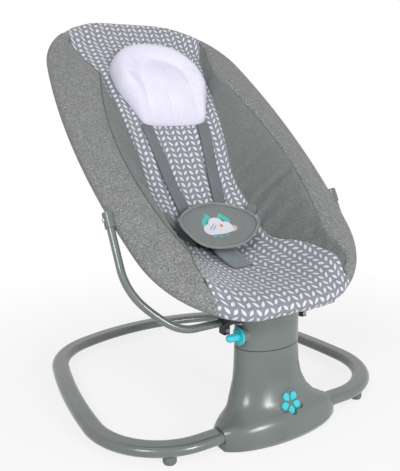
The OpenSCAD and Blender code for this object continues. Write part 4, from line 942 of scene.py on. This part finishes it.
def strap_mesh(name, points, width, thick, node, key="webbing"):
    """Flat strap along (x, s, height over the face) places."""
    path = rounded(points, 30)
    runs, total = [0.0], 0.0
    spots = [Vector(seat(x, s, face(x, s) + h)) for x, s, h in path]
    for a, b in zip(spots, spots[1:]):
        total += (b - a).length * 1000
        runs.append(total)

    def place(u, v):
        i = round(v * 30)
        x, s, h = path[i]
        x1, s1, _ = path[max(0, i - 1)]
        x2, s2, _ = path[min(30, i + 1)]
        dx, ds = x2 - x1, s2 - s1
        length = math.hypot(dx, ds) or 1
        # Section: top from left to right, then back underneath, edges rounded
        k = u * 4 - 1 if u <= 0.5 else 3 - u * 4
        rise = thick / 2 * math.sqrt(max(0, 1 - abs(k) ** 8)) * (1 if u <= 0.5 else -1)
        w = width / 2 * k
        px, ps = x + ds / length * w, s - dx / length * w
        return seat(px, ps, mix(face(px, ps), face(x, s), 0.5) + h + thick / 2 + rise)

    def uv(u, v):
        k = u * 4 - 1 if u <= 0.5 else 3 - u * 4
        return (k * width / 2, runs[round(v * 30)])

    bm = grid(16, 30, place, uv, ends=True)
    obj = finish_mesh(name, bm, "seat", material(key))
    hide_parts(node)


def make_harness(props):
    for side, name in ((1, "right"), (-1, "left")):
        strap_mesh(f"shoulder_webbing_{name}", [
            (side * 37, 262, 5.5), (side * 45, 300, 4.6), (side * 57, 390, 3.6), (side * 69, 486, 1.6),
        ], props.shoulder_width, 2.2, f"shoulder_strap_{name}")
        strap_mesh(f"waist_webbing_{name}", [
            (side * 48, 224, 4.0), (side * 68, 234, 4.5), (side * 88, 252, 5.0), (side * 106, 272, 1.5),
        ], props.webbing_width, 2.0, f"waist_strap_{name}")
    strap_mesh("crotch_webbing", [
        (3, 128, 1.6), (2, 146, 5.0), (1, 168, 10.0), (0, 190, 13.0), (0, 201, 13.5),
    ], 50, 5.0, "crotch_strap", "crotch")


COVER_S = 232.0
COVER_HALF_W, COVER_HALF_L = 88.0, 56.0


def cover_low(x, s):
    """Underside of the buckle cover, which bridges the hollows beside it."""
    bridge = 34 * bump(s - 200, 42) * min(1, abs(x) / edge_x(s)) ** 2.5
    return face(x, s) + bridge + 4.6 + 23 * math.sqrt(1 - (x / (COVER_HALF_W + 2)) ** 2)


def make_cover(props):
    def across(u, v):
        """Share of the way out from the middle, and the place across and up."""
        a, rho = u * math.tau, v * 2 if v <= 0.5 else 2 - v * 2
        # Spacing tightens towards the edge
        rho = 1 - (1 - rho) ** 1.3
        return rho, COVER_HALF_W * rho * math.cos(a), COVER_HALF_L * rho * math.sin(a)

    def place(u, v):
        top = v <= 0.5
        rho, x, y = across(u, v)
        s = COVER_S + y
        low = cover_low(x, s)
        edge = max(0.0, 1 - rho ** 6) ** 0.5
        # The border is pressed down inside the piping
        border = 0.55 + 0.45 * ease(rho, 0.92, 0.74)
        n = low + (1.0 + 9.5 * edge * border if top else 0.6)
        return seat(x, s, n)

    def uv(u, v):
        # The print is on the top; the underside reads far away from it
        _, x, y = across(u, v)
        return (x, y + (0 if v <= 0.5 else 500))

    bm = grid(96, 36, place, uv)
    obj = finish_mesh("cover_pad", bm, "seat", material("cover_fabric"))
    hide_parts("buckle_cover")
    subdivide(obj)

    r, ring_w, ring_l = 2.7, COVER_HALF_W - 1.5, COVER_HALF_L - 1.5

    def pipe(u, v):
        a, b = u * math.tau, v * math.tau
        x = (ring_w + r * math.cos(b)) * math.cos(a)
        y = (ring_l + r * math.cos(b)) * math.sin(a)
        mid = cover_low(ring_w * math.cos(a), COVER_S + ring_l * math.sin(a))
        return seat(x, COVER_S + y, mid + 4.6 + r * math.sin(b))

    finish_mesh("cover_piping", grid(120, 12, pipe), "seat", material("piping"))


def looked_at(tree):
    """1 for what the camera or a reflection sees, 0 for what only lights other things."""
    path = add(tree, "ShaderNodeLightPath")
    return math_node(tree, "MAXIMUM", path.outputs["Is Camera Ray"], path.outputs["Is Glossy Ray"])


def floor_material():
    """Pale floor, lit up towards plain white for the camera and reflections, most so far out."""
    mat, tree, shader = new_material("Studio floor", 0.9)
    shader.inputs["Base Color"].default_value = colour("#f2f2f2")
    seen = looked_at(tree)
    far = add(tree, "ShaderNodeVectorMath", {"operation": "LENGTH"}, i0=object_space(tree)).outputs[1]
    share = math_node(tree, "ADD", 0.8, math_node(tree, "MULTIPLY", ramp(tree, far, 0.55, 1.15), 0.2))
    glow = add(tree, "ShaderNodeEmission", None, Color=(1, 1, 1, 1), Strength=1.0)
    both = add(tree, "ShaderNodeMixShader", None, i0=math_node(tree, "MULTIPLY", seen, share),
               i1=shader.outputs[0], i2=glow.outputs[0])
    tree.links.new(both.outputs[0], tree.nodes["Material Output"].inputs[0])
    return mat


def make_stage(props):
    bm = bmesh.new()
    bmesh.ops.create_grid(bm, x_segments=1, y_segments=1, size=6)
    mesh = bpy.data.meshes.new("floor")
    bm.to_mesh(mesh)
    bm.free()
    floor = bpy.data.objects.new("floor", mesh)
    bpy.context.scene.collection.objects.link(floor)
    floor.data.materials.append(floor_material())

    world = bpy.data.worlds.new("studio")
    bpy.context.scene.world = world
    world.use_nodes = True
    tree = world.node_tree
    back = tree.nodes["Background"]
    back.inputs[0].default_value = (1, 1, 1, 1)
    seen = looked_at(tree)
    extra = math_node(tree, "MULTIPLY", seen, 1.0 - props.sky)
    tree.links.new(math_node(tree, "ADD", props.sky, extra), back.inputs[1])

    def lamp(name, place, target, size, watts):
        data = bpy.data.lights.new(name, "AREA")
        data.shape = "DISK"
        data.size = size
        data.energy = watts
        obj = bpy.data.objects.new(name, data)
        obj.location = place
        obj.rotation_euler = (Vector(target) - Vector(place)).to_track_quat("-Z", "Y").to_euler()
        bpy.context.scene.collection.objects.link(obj)

    lamp("key", (-2.2, -1.4, 2.0), (0, 0.1, 0.4), 0.9, props.key)
    lamp("front", (0.3, -2.7, 1.1), (0, 0.1, 0.3), 0.8, props.key * 1.2)
    lamp("top", (0.1, 0.4, 3.0), (0, 0.1, 0.4), 1.6, props.key * 0.15)

    data = bpy.data.cameras.new("camera")
    data.sensor_fit = "VERTICAL"
    data.sensor_height = 24.0
    data.sensor_width = 24.0 * 400 / 471
    data.lens = 31.38
    data.clip_start = 0.05
    camera = bpy.data.objects.new("camera", data)
    camera.location = (-0.6634, -0.8319, 0.5971)
    camera.rotation_euler = (math.radians(77.35), 0, math.radians(-32.03))
    bpy.context.scene.collection.objects.link(camera)
    bpy.context.scene.camera = camera
    bpy.context.scene.view_settings.view_transform = "Standard"


# ---- add-on ---------------------------------------------------------------------------------


class BouncerSettings(bpy.types.PropertyGroup):
    """Sizes and light a user may change."""
    webbing_width: bpy.props.FloatProperty(
        name="Waist webbing", description="Width of the waist webbing in millimetres",
        default=22.0, min=18.0, max=26.0)
    shoulder_width: bpy.props.FloatProperty(
        name="Shoulder straps", description="Width of the shoulder straps in millimetres",
        default=27.0, min=22.0, max=30.0)
    key: bpy.props.FloatProperty(
        name="Key light", description="Power of the main lamp in watts",
        default=34.0, min=5.0, max=300.0)
    sky: bpy.props.FloatProperty(
        name="Room light", description="Strength of the even light from all round",
        default=0.38, min=0.0, max=1.0)


class BOUNCER_OT_finishes(bpy.types.Operator):
    """Gives the frame's own nodes their materials"""
    bl_idname = "bouncer.finishes"
    bl_label = "Frame finishes"

    def execute(self, context):
        make_finishes()
        return {"FINISHED"}


class BOUNCER_OT_sling(bpy.types.Operator):
    """Makes the cloth shell stretched on the hoop"""
    bl_idname = "bouncer.sling"
    bl_label = "Sling"

    def execute(self, context):
        make_sling(context.scene.bouncer_settings)
        return {"FINISHED"}


class BOUNCER_OT_wings(bpy.types.Operator):
    """Makes the two padded side wings"""
    bl_idname = "bouncer.wings"
    bl_label = "Side wings"

    def execute(self, context):
        make_wings(context.scene.bouncer_settings)
        return {"FINISHED"}


class BOUNCER_OT_insert(bpy.types.Operator):
    """Makes the printed seat insert"""
    bl_idname = "bouncer.insert"
    bl_label = "Seat insert"

    def execute(self, context):
        make_insert(context.scene.bouncer_settings)
        return {"FINISHED"}


class BOUNCER_OT_pillow(bpy.types.Operator):
    """Makes the head pillow"""
    bl_idname = "bouncer.pillow"
    bl_label = "Head pillow"

    def execute(self, context):
        make_pillow(context.scene.bouncer_settings)
        return {"FINISHED"}


class BOUNCER_OT_harness(bpy.types.Operator):
    """Makes the webbing of the harness"""
    bl_idname = "bouncer.harness"
    bl_label = "Harness"

    def execute(self, context):
        make_harness(context.scene.bouncer_settings)
        return {"FINISHED"}


class BOUNCER_OT_cover(bpy.types.Operator):
    """Makes the oval padded cover over the buckle, with its piping"""
    bl_idname = "bouncer.cover"
    bl_label = "Buckle cover"

    def execute(self, context):
        make_cover(context.scene.bouncer_settings)
        return {"FINISHED"}


class BOUNCER_OT_stage(bpy.types.Operator):
    """Makes the floor, lights and camera"""
    bl_idname = "bouncer.stage"
    bl_label = "Stage"

    def execute(self, context):
        make_stage(context.scene.bouncer_settings)
        return {"FINISHED"}


OPERATORS = (BOUNCER_OT_stage, BOUNCER_OT_finishes, BOUNCER_OT_sling, BOUNCER_OT_wings, BOUNCER_OT_insert,
             BOUNCER_OT_pillow, BOUNCER_OT_harness, BOUNCER_OT_cover)


class BOUNCER_PT_panel(bpy.types.Panel):
    """Lists the pieces and the settings"""
    bl_idname = "BOUNCER_PT_panel"
    bl_label = "Bouncer seat"
    bl_space_type = "VIEW_3D"
    bl_region_type = "UI"
    bl_category = "Bouncer"

    def draw(self, context):
        for key in BouncerSettings.__annotations__:
            self.layout.prop(context.scene.bouncer_settings, key)
        for cls in OPERATORS:
            self.layout.operator(cls.bl_idname)


CLASSES = (BouncerSettings, *OPERATORS, BOUNCER_PT_panel)


def register():
    for cls in CLASSES:
        bpy.utils.register_class(cls)
    bpy.types.Scene.bouncer_settings = bpy.props.PointerProperty(type=BouncerSettings)


def unregister():
    del bpy.types.Scene.bouncer_settings
    for cls in reversed(CLASSES):
        bpy.utils.unregister_class(cls)


def main():
    register()
    for cls in OPERATORS:
        group, call = cls.bl_idname.split(".")
        getattr(getattr(bpy.ops, group), call)()


if __name__ == "__main__":
    main()
